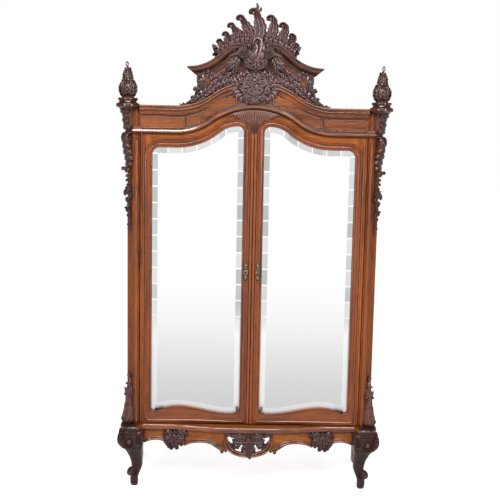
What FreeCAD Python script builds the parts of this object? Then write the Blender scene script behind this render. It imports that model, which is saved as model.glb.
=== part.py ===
import FreeCAD, Part
import math
import os

# A two-door mirrored armoire that comes apart for carrying: base, carcase, cornice, pediment, doors.
# Millimetres, +Z up, the front faces -Y, and x = 0 is the joint between the doors.
# The origin lies on the floor under the middle of the whole piece.

V = FreeCAD.Vector
ALONG_X, ALONG_Y, ALONG_Z = V(1, 0, 0), V(0, 1, 0), V(0, 0, 1)
SIDES = (("left", -1), ("right", 1))

OUT_FOLDER = "parts"
beyond = 4000.0            # a length past the whole armoire, for cuts

# ---------------------------------------------------------------- driving dimensions
# Clearances
running_gap = 3.0          # between a door and what it closes against
foot_gap = 4.0             # under a door
seat_gap = 0.3             # between loose pieces that only lie side by side
slide_gap = 0.5            # round a bolt in its groove

# Carcase
half_width = 740.0         # middle to the outer face of a corner post
door_face = -200.0         # y of the doors' front face
back = 288.0               # y of the back of the carcase
board = 25.0               # thickness of frames, frieze and pediment boards
thin_board = 12.0          # thickness of the top panel and the floor panel
panel_thick = 10.0
panel_tongue = 10.0        # how far a panel enters its groove
stile_width = 70.0
muntin_width = 80.0
side_bottom_rail = 95.0
side_top_rail = 150.0
back_rail = 100.0
post_width = 75.0
post_depth = 75.0
cant = 38.0                # the canted front corner of a post, measured along each face
fillet_band = 4.0          # step of the band down a post's front face

# Base
floor_level = -43.0        # where the feet stand, below the line that heights are measured from
base_top = 353.0
base_thick = 38.0
base_inset = 60.0          # width of the base frame behind its mouldings
recess_front = -200.0      # y of the base line beside the corner blocks
bow = 50.0                 # how far the middle of the base bows forward
bow_inner = 180.0          # x where the bow starts to fall away
bow_outer = 430.0          # x where it meets the recess
bow_radius = 620.0
block_width = 112.0        # width of a corner block
block_proud = 22.0         # how far a corner block stands out past the post
block_front = -258.0
block_back = -130.0
block_round = 58.0
block_hollow = 24.0
moulding_reach = 12.0      # how far the base moulding projects
moulding_step = 5.0
moulding_edge = 8.0        # height of the base moulding's lower step and of its upper one
moulding_fillet = 3.0      # flat margin over the upper step
apron_setback = 12.0       # apron face behind the base line
apron_thick = 26.0
apron_lap = 14.0           # how far a leg reaches inwards past its corner block
palmette_inset = 186.0     # middle of an apron palmette, in from the end of the front apron
side_apron_depth = 70.0
side_apron_rise = 32.0     # its middle is cut higher by this much
side_apron_run = 60.0      # length of each of its shaped ends
rear_leg_width = 72.0
rear_leg_taper = 26.0
leg_inset = 72.0           # front leg axis inside the outer face of the post
leg_axis_y = -168.0
side_apron_front = -122.0  # y where a side apron meets a front leg

# Doors
door_thick = 28.0
arch_spring = 2087.0       # height of the doors' top edge beside the posts
arch_rise = 148.0          # how much higher it is in the middle
arch_reach = 450.0         # x where the curve leaves the level part
arch_turn = 245.0          # x where the curve changes from hollow to round
pivot_inset = 8.0          # pivot centre from the door's front face and outer edge, less the gap
pin_radius = 4.0
pin_reach = 12.0
moulding_width = 42.0
moulding_rise = 12.0
lip = 4.0                  # thickness of the frame's lip in front of the mirror
lip_reach = 2.0            # the lip stands this far outside the sight line
rebate = 12.0              # the rebate stands this far outside the sight line
mirror_thick = 6.0
bevel_width = 33.0
bevel_drop = 3.0
mirror_back_thick = 10.0
strip_rise = 8.0
strip_edge = 17.5          # outer edge of a meeting strip
fan_half_width = 76.0
fan_drop = 17.0            # foot of the fan under the level of the doors' top edge

# Sight line of a mirror, measured from the middle of the armoire
sight_inner = 60.0
stile_face = 70.0          # from a door's outer edge to the sight line
foot_rail = 66.0           # from a door's bottom edge to the sight line
foot_turn = 7.0            # how much higher the sight line ends beside the outer stile
hump_inset = 152.0         # top of the hump, in from the outer sight line
hump_rise = 51.0
sight_low_x = 170.0
head_rail = 75.0           # from the doors' top edge beside the posts to the sight line
crown_rise = 129.0
head_inset = 142.0         # where the head leaves the level, in from the outer sight line
sight_crown_x = 95.0
sight_turn_x = 200.0

# Lock and bolts
key_x = 36.0
key_z = 1290.0
lock_width = 42.0
lock_height = 90.0
lock_thick = 12.0
lock_wall = 1.5
lock_inset = 9.0           # front of the lock case behind the door face
bolt_height = 14.0
bolt_throw = 11.0
bolt_above_key = 16.0
shank_radius = 3.2
keyhole_radius = 4.4
bit_reach = 13.0
bow_radius_outer = 13.0
bow_radius_inner = 8.0
bow_thick = 4.0
escutcheon_width = 24.0
escutcheon_height = 104.0
escutcheon_thick = 2.0
flush_width = 12.0
flush_thick = 5.0
flush_length = 160.0
flush_throw = 14.0
flush_x = -20.0
knob_radius = 4.0
knob_reach = 8.0

# Head
frieze_height = 166.0      # from the doors' top edge to the cornice's top line
cornice_height = 53.0
cornice_reach = 35.0
cap_inset = 10.0           # cap centre inside the outer face of the post
cap_y = -215.0
cap_seat = 23.0            # foot of a cap below the cornice's top line
cap_radius = 68.0
cap_disc_radius = 58.0
cap_neck = 50.0
cap_ring = 35.0            # height of the cap's ring
cap_height = 62.0
finial_height = 208.0
finial_radius = 53.0
head_moulding_low = 12.0   # above the doors' top line
head_moulding_high = 30.0
head_moulding_rise = 9.0
frieze_panel_base = 34.0   # above the doors' top edge
frieze_panel_height = 67.0
frieze_panel_inner = 405.0
frieze_panel_margin = 10.0
frieze_panel_rise = 5.0
wing_panel_inner = 105.0
wing_panel_outer = 393.0

# Pediment
pediment_half = 300.0
roof_tip_x = 390.0
pediment_height = 220.0    # from the cornice's top line to the roof's tips
roof_bend_x = 285.0
roof_sweep = 9.0           # how far the roof rises to where it bends
roof_crown_x = 135.0
roof_rise = 133.0          # from the roof's tips to its top
roof_depth = 62.0
roof_height = 50.0
beak_length = 55.0         # how far the roof's outer end is cut back underneath
beak_nose = 6.0            # height of the flat tip over that cut
volute_x = 75.0
volute_drop = 50.0         # volute centre below the roof's top
volute_radius = 31.0
crest_thick = 24.0
bouquet_height = 109.0     # its middle above the cornice's top line
bouquet_radius = 92.0
bouquet_rise = 40.0
wing_rise = 62.0
wing_thick = 28.0
bracket_reach = 130.0      # how far a bracket's tail runs past the pediment board
bracket_rise = 164.0       # how high a bracket stands on the cornice

# Inside
hat_height = 401.0         # from the underside of the shelf to the top panel
shelf_thick = 20.0
bearer_height = 60.0
bearer_thick = 20.0
rail_radius = 12.5
rail_y = 60.0
rail_drop = 35.0           # rail centre below the shelf

# ---------------------------------------------------------------- derived places
post_inner = half_width - post_width
block_side = half_width + block_proud
block_inner = block_side - block_width
apron_end = block_inner - apron_lap
palmette_x = apron_end - palmette_inset
leg_axis_x = half_width - leg_inset
cap_x = half_width - cap_inset
frieze_panel_outer = post_inner - frieze_panel_margin
post_back = door_face + post_depth
door_outer = post_inner - running_gap
door_back = door_face + door_thick
door_foot = base_top + foot_gap
door_inner = running_gap / 2
sight_outer = door_outer - stile_face
sight_hump_x = sight_outer - hump_inset
sight_head_x = sight_outer - head_inset
side_inner = half_width - board
back_front = back - board
base_low = base_top - base_thick
side_apron_low = base_low - side_apron_depth
sight_foot = door_foot + foot_rail
sight_head = arch_spring - head_rail
sight_crown = sight_head + crown_rise
fan_foot = arch_spring - fan_drop
frieze_panel_low = arch_spring + frieze_panel_base
frieze_panel_high = frieze_panel_low + frieze_panel_height
cornice_top = arch_spring + frieze_height
cap_foot = cornice_top - cap_seat
carcase_top = cornice_top - thin_board
shelf_z = carcase_top - hat_height
roof_tip = cornice_top + pediment_height
roof_bend = roof_tip + roof_sweep
roof_crown = roof_tip + roof_rise
volute_z = roof_crown - volute_drop
bouquet_z = cornice_top + bouquet_height
pivot_x = door_outer - pivot_inset
pivot_y = door_face + pivot_inset
flush_y = door_back - slide_gap
moulding_face = door_face - moulding_rise
key_y = moulding_face - escutcheon_thick
bolt_edge = arch_spring + arch_rise + running_gap
arch_half_angle = math.atan(arch_rise / arch_reach)
arch_hollow = (arch_reach - arch_turn) / math.sin(2 * arch_half_angle)
arch_round = arch_turn / math.sin(2 * arch_half_angle)


# ---------------------------------------------------------------- shape helpers
def block(x0, x1, y0, y1, z0, z1):
    """A box between two corners."""
    low = V(min(x0, x1), min(y0, y1), min(z0, z1))
    return Part.makeBox(abs(x1 - x0), abs(y1 - y0), abs(z1 - z0), low)


def rod(start, direction, radius, length):
    return Part.makeCylinder(radius, length, start, direction)


def mirrored(shape, side):
    """The shape as modelled for the right side, or its mirror image for the left."""
    return shape if side > 0 else shape.mirror(V(0, 0, 0), ALONG_X)


def in_front(y):
    """Places points (x, z) in the upright plane at y."""
    return lambda x, z: V(x, y, z)


def in_plan(z):
    """Places points (x, y) in the level plane at z."""
    return lambda x, y: V(x, y, z)


def outline(points, place, closed=True):
    """A wire through points (u, v) or (u, v, radius), with each given corner rounded."""
    flat = [V(p[0], p[1], 0) for p in points]
    count = len(points)
    corners = []
    for i, p in enumerate(points):
        radius = p[2] if len(p) > 2 else 0
        if not radius or (not closed and i in (0, count - 1)):
            corners.append((flat[i], None, flat[i]))
            continue
        before = (flat[i - 1] - flat[i]).normalize()
        after = (flat[(i + 1) % count] - flat[i]).normalize()
        half = before.getAngle(after) / 2
        centre = flat[i] + (before + after).normalize() * (radius / math.sin(half))
        run = radius / math.tan(half)
        middle = centre + (flat[i] - centre).normalize() * radius
        corners.append((flat[i] + before * run, middle, flat[i] + after * run))
    edges = []
    for i, (start, middle, end) in enumerate(corners):
        if middle is not None:
            edges.append(Part.Arc(*(place(q.x, q.y) for q in (start, middle, end))).toShape())
        following = corners[(i + 1) % count][0]
        if (i < count - 1 or closed) and (following - end).Length > 1e-6:
            edges.append(Part.LineSegment(place(end.x, end.y), place(following.x, following.y)).toShape())
    return Part.Wire(edges)


def plate(points, y0, y1):
    """A front outline (x, z) given thickness from y0 to y1."""
    return Part.Face(outline(points, in_front(y0))).extrude(V(0, y1 - y0, 0))


def slab(points, z0, z1):
    """A plan outline (x, y) given thickness from z0 to z1."""
    return Part.Face(outline(points, in_plan(z0))).extrude(V(0, 0, z1 - z0))


def grown(points, distance):
    """An anticlockwise outline with every side moved outwards, round corners staying concentric."""
    flat = [V(p[0], p[1], 0) for p in points]
    count = len(flat)
    result = []
    for i in range(count):
        before = (flat[i] - flat[i - 1]).normalize()
        after = (flat[(i + 1) % count] - flat[i]).normalize()
        out_before = V(before.y, -before.x, 0)
        out_after = V(after.y, -after.x, 0)
        turn = before.x * after.y - before.y * after.x
        shift = (out_before + out_after) * (distance / (1 + out_before.dot(out_after)))
        radius = points[i][2] if len(points[i]) > 2 else 0
        if radius:
            radius = max(radius + distance * math.copysign(1, turn), 1.0)
        result.append((flat[i].x + shift.x, flat[i].y + shift.y, radius))
    return result


def both_halves(points):
    """A symmetrical line from left to right, given its right half from the outside inwards."""
    left = [(-p[0],) + tuple(p[1:]) for p in points]
    return left + list(reversed(points))


def follow(path, profile, forward, down):
    """Sweeps a profile of points (forward, down, radius) along a path that stays in one plane."""
    edge = path.Edges[0]
    start = edge.valueAt(edge.FirstParameter)
    section = outline(profile, lambda f, d: start + forward * f + down(edge) * d)
    pipe = Part.BRepOffsetAPI.MakePipeShell(path)
    pipe.setBiNormalMode(forward)
    pipe.add(section)
    pipe.build()
    pipe.makeSolid()
    return pipe.shape()


def across(edge):
    """Square to the start of an edge in the front plane, to the right of its direction."""
    run = edge.tangentAt(edge.FirstParameter)
    return V(run.z, 0, -run.x)


def curve(points, place):
    """A smooth edge through points (u, v)."""
    line = Part.BSplineCurve()
    line.interpolate([place(u, v) for u, v in points])
    return line.toShape()


def carved_block(origin, outward, side_view, front_view):
    """A block sawn to two outlines: side_view in (outward, z) and front_view in (across, z).

    Each outline is a pair of smooth lines, given from the top down.
    """
    sideways = ALONG_Z.cross(outward)
    reach = 2 * half_width
    blanks = []
    for direction, normal, (first, second) in ((outward, sideways, side_view),
                                               (sideways, outward, front_view)):
        base = origin - normal * (reach / 2)
        place = lambda u, z: base + direction * u + ALONG_Z * z
        lines = [curve(first, place), curve(second, place)]
        ends = [Part.LineSegment(lines[0].valueAt(lines[0].LastParameter),
                                 lines[1].valueAt(lines[1].LastParameter)).toShape(),
                Part.LineSegment(lines[1].valueAt(lines[1].FirstParameter),
                                 lines[0].valueAt(lines[0].FirstParameter)).toShape()]
        wire = Part.Wire(Part.__sortEdges__([lines[0], ends[0], lines[1], ends[1]]))
        blanks.append(Part.Face(wire).extrude(normal * reach))
    return blanks[0].common(blanks[1])


def arch_line(height, shift=0.0):
    """Right half of the serpentine head line, outside inwards, its level part at the given height."""
    slope = math.tan(arch_half_angle)
    return [(arch_reach - (arch_hollow - shift) * slope, height + shift, arch_hollow - shift),
            ((arch_round + shift) * slope, height + arch_rise + shift, arch_round + shift)]


def serpentine(low, low_shift, high, high_shift, half, y0, y1):
    """A board between two serpentine lines."""
    under = both_halves([(half, low + low_shift)] + arch_line(low, low_shift))
    over = both_halves([(half, high + high_shift)] + arch_line(high, high_shift))
    return plate(under + over[::-1], y0, y1)


def compound(*solids):
    return Part.makeCompound(list(solids))


def write(name, shape):
    """Saves a node, raised so that the feet stand at height 0."""
    shape = shape.removeSplitter() if len(shape.Solids) == 1 else shape
    if not shape.isValid() or shape.Volume <= 0:
        raise ValueError(name + " is not a sound solid")
    single = shape.Solids[0] if len(shape.Solids) == 1 else compound(*shape.Solids)
    single.translate(V(0, 0, -floor_level))
    single.exportStep(os.path.join(OUT_FOLDER, name + ".step"))


# ---------------------------------------------------------------- base
def base_plan():
    """The base line in plan, anticlockwise from the middle of the front."""
    right = [(bow_inner, recess_front - bow, bow_radius),
             (bow_outer, recess_front, bow_radius),
             (block_inner, recess_front, block_hollow),
             (block_inner + block_hollow, block_front, block_hollow),
             (block_side, block_front, block_round),
             (block_side, block_back, block_hollow),
             (half_width, block_back + block_hollow, block_hollow),
             (half_width, back)]
    left = [(-p[0],) + tuple(p[1:]) for p in reversed(right)]
    return right + left


def base_moulding():
    """The frame that the carcase stands on, with its moulded edge and a hole for each bottom pivot."""
    frame = slab(base_plan(), base_low, base_top)
    middle = slab(grown(base_plan(), moulding_reach), base_low + moulding_edge, base_top - moulding_edge)
    lower = slab(grown(base_plan(), moulding_step), base_low, base_low + moulding_edge)
    upper = slab(grown(base_plan(), moulding_step), base_top - moulding_edge, base_top - moulding_fillet)
    shape = frame.fuse([middle, lower, upper])
    behind = block(-2 * half_width, 2 * half_width, back, back + 2 * moulding_reach, 0, base_top + 1)
    middle_opening = block(-side_inner + base_inset, side_inner - base_inset,
                           door_face + base_inset, back - base_inset, 0, base_top + 1)
    shape = shape.cut([behind, middle_opening])
    return shape.cut(pivot_holes(pin_radius) + [flush_room(base_top)])


def curved_band(front_setback, back_setback):
    """The space between two lines set back from the bowed front of the base."""
    lines = []
    for setback in (front_setback, back_setback):
        half = [(half_width, recess_front + setback), (bow_outer, recess_front + setback, bow_radius),
                (bow_inner, recess_front - bow + setback, bow_radius)]
        lines.append(both_halves(half))
    return slab(lines[0] + lines[1][::-1], 0, base_low)


def apron_board():
    """The front apron: a bowed board with a shaped lower edge, level over the pierced carving."""
    half = [(apron_end, -87), (apron_end - 34, -65, 40), (palmette_x + 72, -65, 26),
            (palmette_x + 48, -101, 10), (palmette_x - 58, -101, 10), (palmette_x - 92, -68, 40),
            (250, -68, 60), (160, -125, 8), (141, -119, 8), (141, -30, 6)]
    top = [(apron_end, 0), (-apron_end, 0)]
    shape = plate(both_halves(half) + top, -half_width, 0)
    shape.translate(V(0, 0, base_low))
    return shape.common(curved_band(apron_setback, apron_setback + apron_thick))


def apron_centre_carving():
    """The pierced cartouche that hangs in the middle of the apron, with its shell."""
    half = [(141 - seat_gap, -30 - seat_gap), (141 - seat_gap, -107, 8), (95, -129, 30), (45, -137, 12),
            (12, -158, 6)]
    shape = plate(both_halves(half), -half_width, 0)
    for side in (-1, 1):
        for x, z, radius in ((100, -69, 20), (66, -97, 13), (112, -101, 8)):
            shape = shape.cut(rod(V(side * x, -half_width, z), ALONG_Y, radius, half_width))
    shape.translate(V(0, 0, base_low))
    shape = shape.common(curved_band(apron_setback, apron_setback + apron_thick)).cut(apron_board())
    face = recess_front - bow + apron_setback
    shell = rod(V(0, face - 14, base_low - 70), ALONG_Y, 40, 14 + 1)
    crown = rod(V(0, face - 10, base_low - 31), ALONG_Y, 22, 10)
    return shape.fuse([shell, crown])


def apron_palmette():
    """One carved palmette on the apron, hanging a little below it (right side)."""
    shell = [(-60, -15, 16), (-64, -75, 20), (-48, -110, 12), (0, -131, 30), (48, -110, 12),
             (64, -75, 20), (60, -15, 16), (28, -19, 14), (0, 11, 20), (-28, -19, 14)]
    shape = plate(shell, -half_width, 0)
    shape.translate(V(palmette_x, 0, base_low))
    return shape.common(curved_band(apron_setback - 12, apron_setback))


def side_apron():
    """The shaped board under the carcase's side (right side)."""
    outer = half_width - moulding_step
    front = side_apron_front
    rear = back - rear_leg_width - seat_gap
    middle = side_apron_low + side_apron_rise
    points = [(front, base_low), (front, side_apron_low), (front + side_apron_run, middle, 40),
              (rear - side_apron_run, middle, 40), (rear, side_apron_low), (rear, base_low)]
    wire = outline(points, lambda y, z: V(outer - apron_thick, y, z))
    return Part.Face(wire).extrude(V(apron_thick, 0, 0))


def front_leg():
    """A cabriole leg set on the diagonal, sawn to two outlines (right side)."""
    outward = V(1, -1, 0).normalize()
    foot = floor_level - base_low
    shin = [(100, 0), (119, -30), (108, -79), (75, -133), (52, -187), (38, -235), (66, -251),
            (82, -283), (55, -317), (47, foot)]
    calf = [(-48, 0), (-44, -53), (-14, -115), (-7, -188), (-6, -245), (16, -293), (18, -329), (22, foot)]
    edge = [(48, 0), (44, -45), (30, -130), (23, -205), (24, -265), (19, -315), (16, foot)]
    other_edge = [(-t, z) for t, z in edge]
    leg = carved_block(V(leg_axis_x, leg_axis_y, base_low), outward, (shin, calf), (edge, other_edge))
    return leg.common(block(apron_end, beyond, -beyond, side_apron_front, floor_level, base_low))


def rear_leg():
    """A plain tapered rear leg with a shaped inner edge (right side)."""
    inner = half_width - rear_leg_width
    points = [(half_width, floor_level), (half_width, base_low), (inner, base_low),
              (inner, base_low - 75, 40), (inner + rear_leg_taper, base_low - 215, 160),
              (inner + rear_leg_taper, floor_level)]
    return plate(points, back - rear_leg_width, back)


def base_back_rail():
    reach = half_width - rear_leg_width - seat_gap
    return block(-reach, reach, back - board, back, side_apron_low, base_low)


# ---------------------------------------------------------------- carcase
def pivot_holes(radius):
    """Rods where the four door pivots stand, at the given radius."""
    holes = []
    for side in (-1, 1):
        for level in (base_top - pin_reach, arch_spring - pin_reach - running_gap):
            holes.append(rod(V(side * pivot_x, pivot_y, level), ALONG_Z, radius,
                             2 * pin_reach + foot_gap + running_gap))
    return holes


def flush_room(edge):
    """The mortise that a flush bolt of the left door enters, above or below the given edge."""
    half = flush_width / 2 + slide_gap
    reach = flush_throw + 2 * foot_gap
    return block(flush_x - half, flush_x + half, flush_y - flush_thick - 2 * slide_gap,
                 flush_y + slide_gap, edge - reach, edge + reach)


def side_panel_room(margin):
    """Where a side panel sits (right side), with a margin all round."""
    middle = half_width - board / 2
    half = panel_thick / 2 + margin
    return block(middle - half, middle + half,
                 post_back - panel_tongue - margin, back - stile_width + panel_tongue + margin,
                 base_top + side_bottom_rail - panel_tongue - margin,
                 carcase_top - side_top_rail + panel_tongue + margin)


def corner_post():
    """A canted corner post with a band down its front face (right side)."""
    face = door_face
    points = [(post_inner, face + fillet_band), (post_inner + 6, face + fillet_band),
              (post_inner + 8, face), (half_width - cant - 2, face),
              (half_width - cant, face + fillet_band), (half_width - cant + 3, face + fillet_band),
              (half_width, face + cant), (half_width, post_back), (post_inner, post_back)]
    shape = slab(points, base_top, cap_foot)
    return shape.cut(side_panel_room(seat_gap))


def side_frame():
    """Rear stile, top rail and bottom rail of a side, glued up (right side)."""
    front = post_back + seat_gap
    full = block(side_inner, half_width, front, back, base_top, carcase_top)
    middle = block(side_inner - 1, half_width + 1, front - 1, back - stile_width,
                   base_top + side_bottom_rail, carcase_top - side_top_rail)
    return full.cut([middle, side_panel_room(seat_gap)])


def back_panel_rooms(margin):
    """Where the two back panels sit, with a margin all round."""
    reach = side_inner - seat_gap - stile_width + panel_tongue + margin
    inner = muntin_width / 2 - panel_tongue - margin
    y = back - board / 2
    half = panel_thick / 2 + margin
    low = base_top + back_rail - panel_tongue - margin
    high = carcase_top - back_rail + panel_tongue + margin
    return [block(side * inner, side * reach, y - half, y + half, low, high) for side in (-1, 1)]


def back_frame():
    reach = side_inner - seat_gap
    full = block(-reach, reach, back_front, back, base_top, carcase_top)
    holes = [block(side * muntin_width / 2, side * (reach - stile_width), back_front - 1, back + 1,
                   base_top + back_rail, carcase_top - back_rail) for side in (-1, 1)]
    return full.cut(holes + back_panel_rooms(seat_gap))


def post_rooms(low, high):
    """The footprints of both corner posts, a hair larger, between two heights."""
    return [block(side * (post_inner - seat_gap), side * 2 * half_width, -2 * half_width,
                  post_back + seat_gap, low, high) for side in (-1, 1)]


def floor_panel():
    reach = side_inner - seat_gap
    shape = block(-reach, reach, door_back + 8, back_front - seat_gap, base_top, base_top + thin_board)
    return shape.cut(post_rooms(0, base_top + 2 * thin_board))


def top_panel():
    """The dust panel that closes the top, cut round the posts and caps."""
    shape = block(-half_width, half_width, door_face + board + seat_gap, back, carcase_top, cornice_top)
    rooms = post_rooms(carcase_top - 1, cornice_top + 1) + cap_rooms()
    return shape.cut(rooms + [flush_room(bolt_edge)])


def shelf():
    shape = block(-side_inner + seat_gap, side_inner - seat_gap, door_back + 14,
                  back_front - seat_gap, shelf_z, shelf_z + shelf_thick)
    return shape.cut(post_rooms(0, 2 * shelf_z))


def bearer():
    """The bearer between post and rear stile, under the shelf, bored for the rail (right side)."""
    shape = block(side_inner - bearer_thick, side_inner, post_back, back_front - seat_gap,
                  shelf_z - bearer_height, shelf_z)
    hole = rod(V(0, rail_y, shelf_z - rail_drop), ALONG_X, rail_radius + seat_gap, half_width)
    return shape.cut(hole)


def hanging_rail():
    reach = side_inner - seat_gap
    return rod(V(-reach, rail_y, shelf_z - rail_drop), ALONG_X, rail_radius, 2 * reach)


# ---------------------------------------------------------------- carving on the posts
def post_corner(level):
    """Middle of a post's canted face (right side), at the given height."""
    return V(half_width - cant / 2 + 1, door_face + cant / 2 + fillet_band / 2, level)


def garland():
    """The console under a cap with the scroll, leaf and flower pendant below it (right side)."""
    outward = V(math.cos(math.radians(52)), -math.sin(math.radians(52)), 0)
    face = [(44, -1), (34, -40), (30, -80), (44, -140), (34, -200), (20, -270), (34, -345), (14, -400),
            (36, -495), (18, -550), (26, -595), (8, -670), (5, -708)]
    against = [(1, -1), (1, -708)]
    edge = [(30, -1), (27, -80), (30, -160), (24, -270), (26, -345), (16, -400), (25, -495),
            (17, -550), (20, -595), (9, -670), (5, -708)]
    other_edge = [(-t, z) for t, z in edge]
    shape = carved_block(post_corner(cap_foot), outward, (face, against), (edge, other_edge))
    return clear_of_post(shape)


def clear_of_post(shape):
    """Cuts a carving back to the faces of the right-hand post, and off the base block."""
    points = [(post_inner, door_face), (half_width - cant, door_face), (half_width, door_face + cant),
              (half_width, back), (post_inner, back)]
    shape = shape.cut(slab(points, 0, 2 * cap_foot))
    beside = block(half_width, 2 * half_width, door_face + cant, back, 0, 2 * cap_foot)
    inside = block(-half_width, half_width - cant - 6, -half_width, back, 0, 2 * cap_foot)
    shape = shape.cut([beside, inside])
    return max(shape.Solids, key=lambda solid: solid.Volume)


def foot_leaf():
    """The leafy console at the foot of a post, standing on the base block (right side)."""
    outward = V(math.cos(math.radians(60)), -math.sin(math.radians(60)), 0)
    face = [(8, 302), (14, 247), (26, 167), (22, 107), (52, 47), (56, 22), (44, 0)]
    against = [(-6, 302), (-6, 0)]
    edge = [(10, 302), (18, 237), (24, 167), (22, 97), (27, 37), (26, 0)]
    other_edge = [(-t, z) for t, z in edge]
    shape = carved_block(post_corner(base_top), outward, (face, against), (edge, other_edge))
    return clear_of_post(shape)


# ---------------------------------------------------------------- head
def cap_rooms():
    """The round room of both corner caps, a hair larger than the cap."""
    return [rod(V(side * cap_x, cap_y, cap_foot), ALONG_Z, cap_radius + seat_gap, cap_height)
            for side in (-1, 1)]


def turned(profile, x, y, z):
    """A turned solid from points (radius, height), standing at a place."""
    wire = outline(profile, lambda r, h: V(x + r, y, z + h))
    return Part.Face(wire).revolve(V(x, y, z), ALONG_Z, 360)


def corner_cap():
    """The moulded cap on a corner post (right side)."""
    profile = [(0, 0), (cap_neck, 0), (cap_neck + 6, 6, 3), (cap_radius, 10, 3),
               (cap_radius, cap_ring - 7, 6), (cap_neck + 2, cap_ring, 3), (cap_neck, cap_ring + 10, 4),
               (cap_disc_radius, cap_ring + 14, 3), (cap_disc_radius, cap_height - 2, 3),
               (cap_neck - 8, cap_height), (0, cap_height)]
    return turned(profile, cap_x, cap_y, cap_foot)


def finial():
    """The flame finial on a cap: a turned core that the leaves are carved from (right side)."""
    foot = 34.0
    points = [(foot, 0), (finial_radius - 5, 22), (finial_radius, 62), (finial_radius - 7, 110),
              (30, 150), (13, 185), (4, finial_height)]
    at_cap = lambda r, h: V(cap_x + r, cap_y, cap_foot + cap_height + h)
    side_line = curve(points, at_cap)
    corners = [at_cap(4, finial_height), at_cap(0, finial_height), at_cap(0, 0), at_cap(foot, 0)]
    rest = [Part.LineSegment(a, b).toShape() for a, b in zip(corners, corners[1:])]
    face = Part.Face(Part.Wire([side_line] + rest))
    return face.revolve(at_cap(0, 0), ALONG_Z, 360)


def frieze_board():
    """The board over the doors: arched below, rising under the pediment above."""
    shape = serpentine(arch_spring, running_gap, cornice_top, 0, post_inner - seat_gap,
                       door_face, door_face + board)
    return shape.cut(cap_rooms() + pivot_holes(pin_radius) + [flush_room(bolt_edge)])


def head_moulding():
    """The moulding that follows the arch just above the doors."""
    line = [(post_inner - seat_gap, arch_spring + head_moulding_high)]
    line += arch_line(arch_spring, head_moulding_high)
    path = outline(both_halves(line), in_front(door_face), closed=False)
    width = head_moulding_high - head_moulding_low
    rise = head_moulding_rise
    profile = [(0, 0), (rise - 4, 0, 1), (rise, 3, 2), (rise, width - 8, 3), (rise - 5, width - 4, 1),
               (rise - 5, width, 1), (0, width)]
    return follow(path, profile, -ALONG_Y, across)


def frieze_panels():
    """Raised panels of the frieze: a level one and a wing under the arch on each side."""
    solids = []
    wing = serpentine(arch_spring, head_moulding_high + 10, frieze_panel_high, 0, post_inner,
                      door_face - frieze_panel_rise, door_face)
    for side in (-1, 1):
        level = block(side * frieze_panel_inner, side * frieze_panel_outer,
                      door_face - frieze_panel_rise, door_face, frieze_panel_low, frieze_panel_high)
        span = block(side * wing_panel_inner, side * wing_panel_outer, door_face - 50, door_face, 0,
                     2 * arch_spring)
        for panel in (level, wing.common(span)):
            rim = [edge for edge in panel.Edges
                   if edge.BoundBox.YMax < door_face - frieze_panel_rise + 0.01]
            solids.append(panel.makeChamfer(frieze_panel_rise - 1, rim))
    return solids


def cornice_profile():
    """Section of the cornice as (projection, drop) from its top line."""
    reach, drop = cornice_reach, cornice_height
    return [(0, 0), (reach, 0, 3), (reach, 9, 3), (reach - 6, 11, 1), (reach - 7, 18, 1),
            (14, 26, 14), (12, 38, 1), (16, 42, 3), (11, 47, 2), (8, drop, 1), (0, drop)]


def cornice_front():
    """The front cornice in two lengths, rising to the bouquet from each corner cap."""
    line = [(cap_x - cap_radius - seat_gap, cornice_top)] + arch_line(cornice_top)
    path = outline(both_halves(line), in_front(door_face), closed=False)
    full = follow(path, cornice_profile(), -ALONG_Y, across)
    half_gap = bouquet_radius + seat_gap
    middle = block(-half_gap, half_gap, -half_width, half_width, 0, beyond)
    return full.cut(middle).Solids


def cornice_side():
    """The cornice along one side, from the cap to the back (right side)."""
    wire = outline(cornice_profile(), lambda f, d: V(half_width + f, cap_y, cornice_top - d))
    shape = Part.Face(wire).extrude(V(0, back - cap_y, 0))
    ahead = block(0, 2 * half_width, -half_width, door_face + cant + 2, 0, 2 * cap_foot)
    return shape.cut(cap_rooms() + [ahead])


# ---------------------------------------------------------------- pediment
def roof_line(shift=0.0):
    """Right half of the roof's top line, from the tip inwards to the volute."""
    return [(roof_tip_x, roof_tip + shift), (roof_bend_x, roof_bend + shift, 240),
            (roof_crown_x, roof_crown + shift, 62), (volute_x, roof_crown + shift)]


def pediment_board():
    """The tympanum between the rising cornice and the roof."""
    roof = both_halves(roof_line(-roof_height))
    below_roof = plate(roof + [(roof_tip_x, 0), (-roof_tip_x, 0)], door_face, door_face + board)
    full = block(-pediment_half, pediment_half, door_face, door_face + board, cornice_top, 2 * cornice_top)
    full = full.cut(cornice_room(0))
    shape = full.common(below_roof).cut([mirrored(roof_moulding(), side) for _, side in SIDES])
    return max(shape.Solids, key=lambda solid: solid.Volume)


def roof_moulding():
    """One scrolled roof moulding with its volute (right side)."""
    path = outline(roof_line()[::-1], in_front(door_face + board), closed=False)
    depth = roof_depth + board
    profile = [(0, 0), (depth, 0, 2), (depth, 9, 3), (depth - 8, 12, 2), (depth - 12, 26, 10),
               (depth - 30, 36, 8), (board + 6, 42, 2), (board + 6, roof_height), (0, roof_height)]
    run = follow(path, profile, -ALONG_Y, across)
    tip = roof_tip - beak_nose
    slope = roof_height - beak_nose
    under = [(roof_tip_x + beak_length, tip + slope), (roof_tip_x - 2 * beak_length, tip - 2 * slope),
             (roof_tip_x + beak_length, tip - 2 * slope)]
    run = run.cut(plate(under, -half_width, half_width))
    volute = rod(V(volute_x, door_face - roof_depth, volute_z), ALONG_Y, volute_radius,
                 roof_depth + board)
    return run.fuse(volute)


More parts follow.
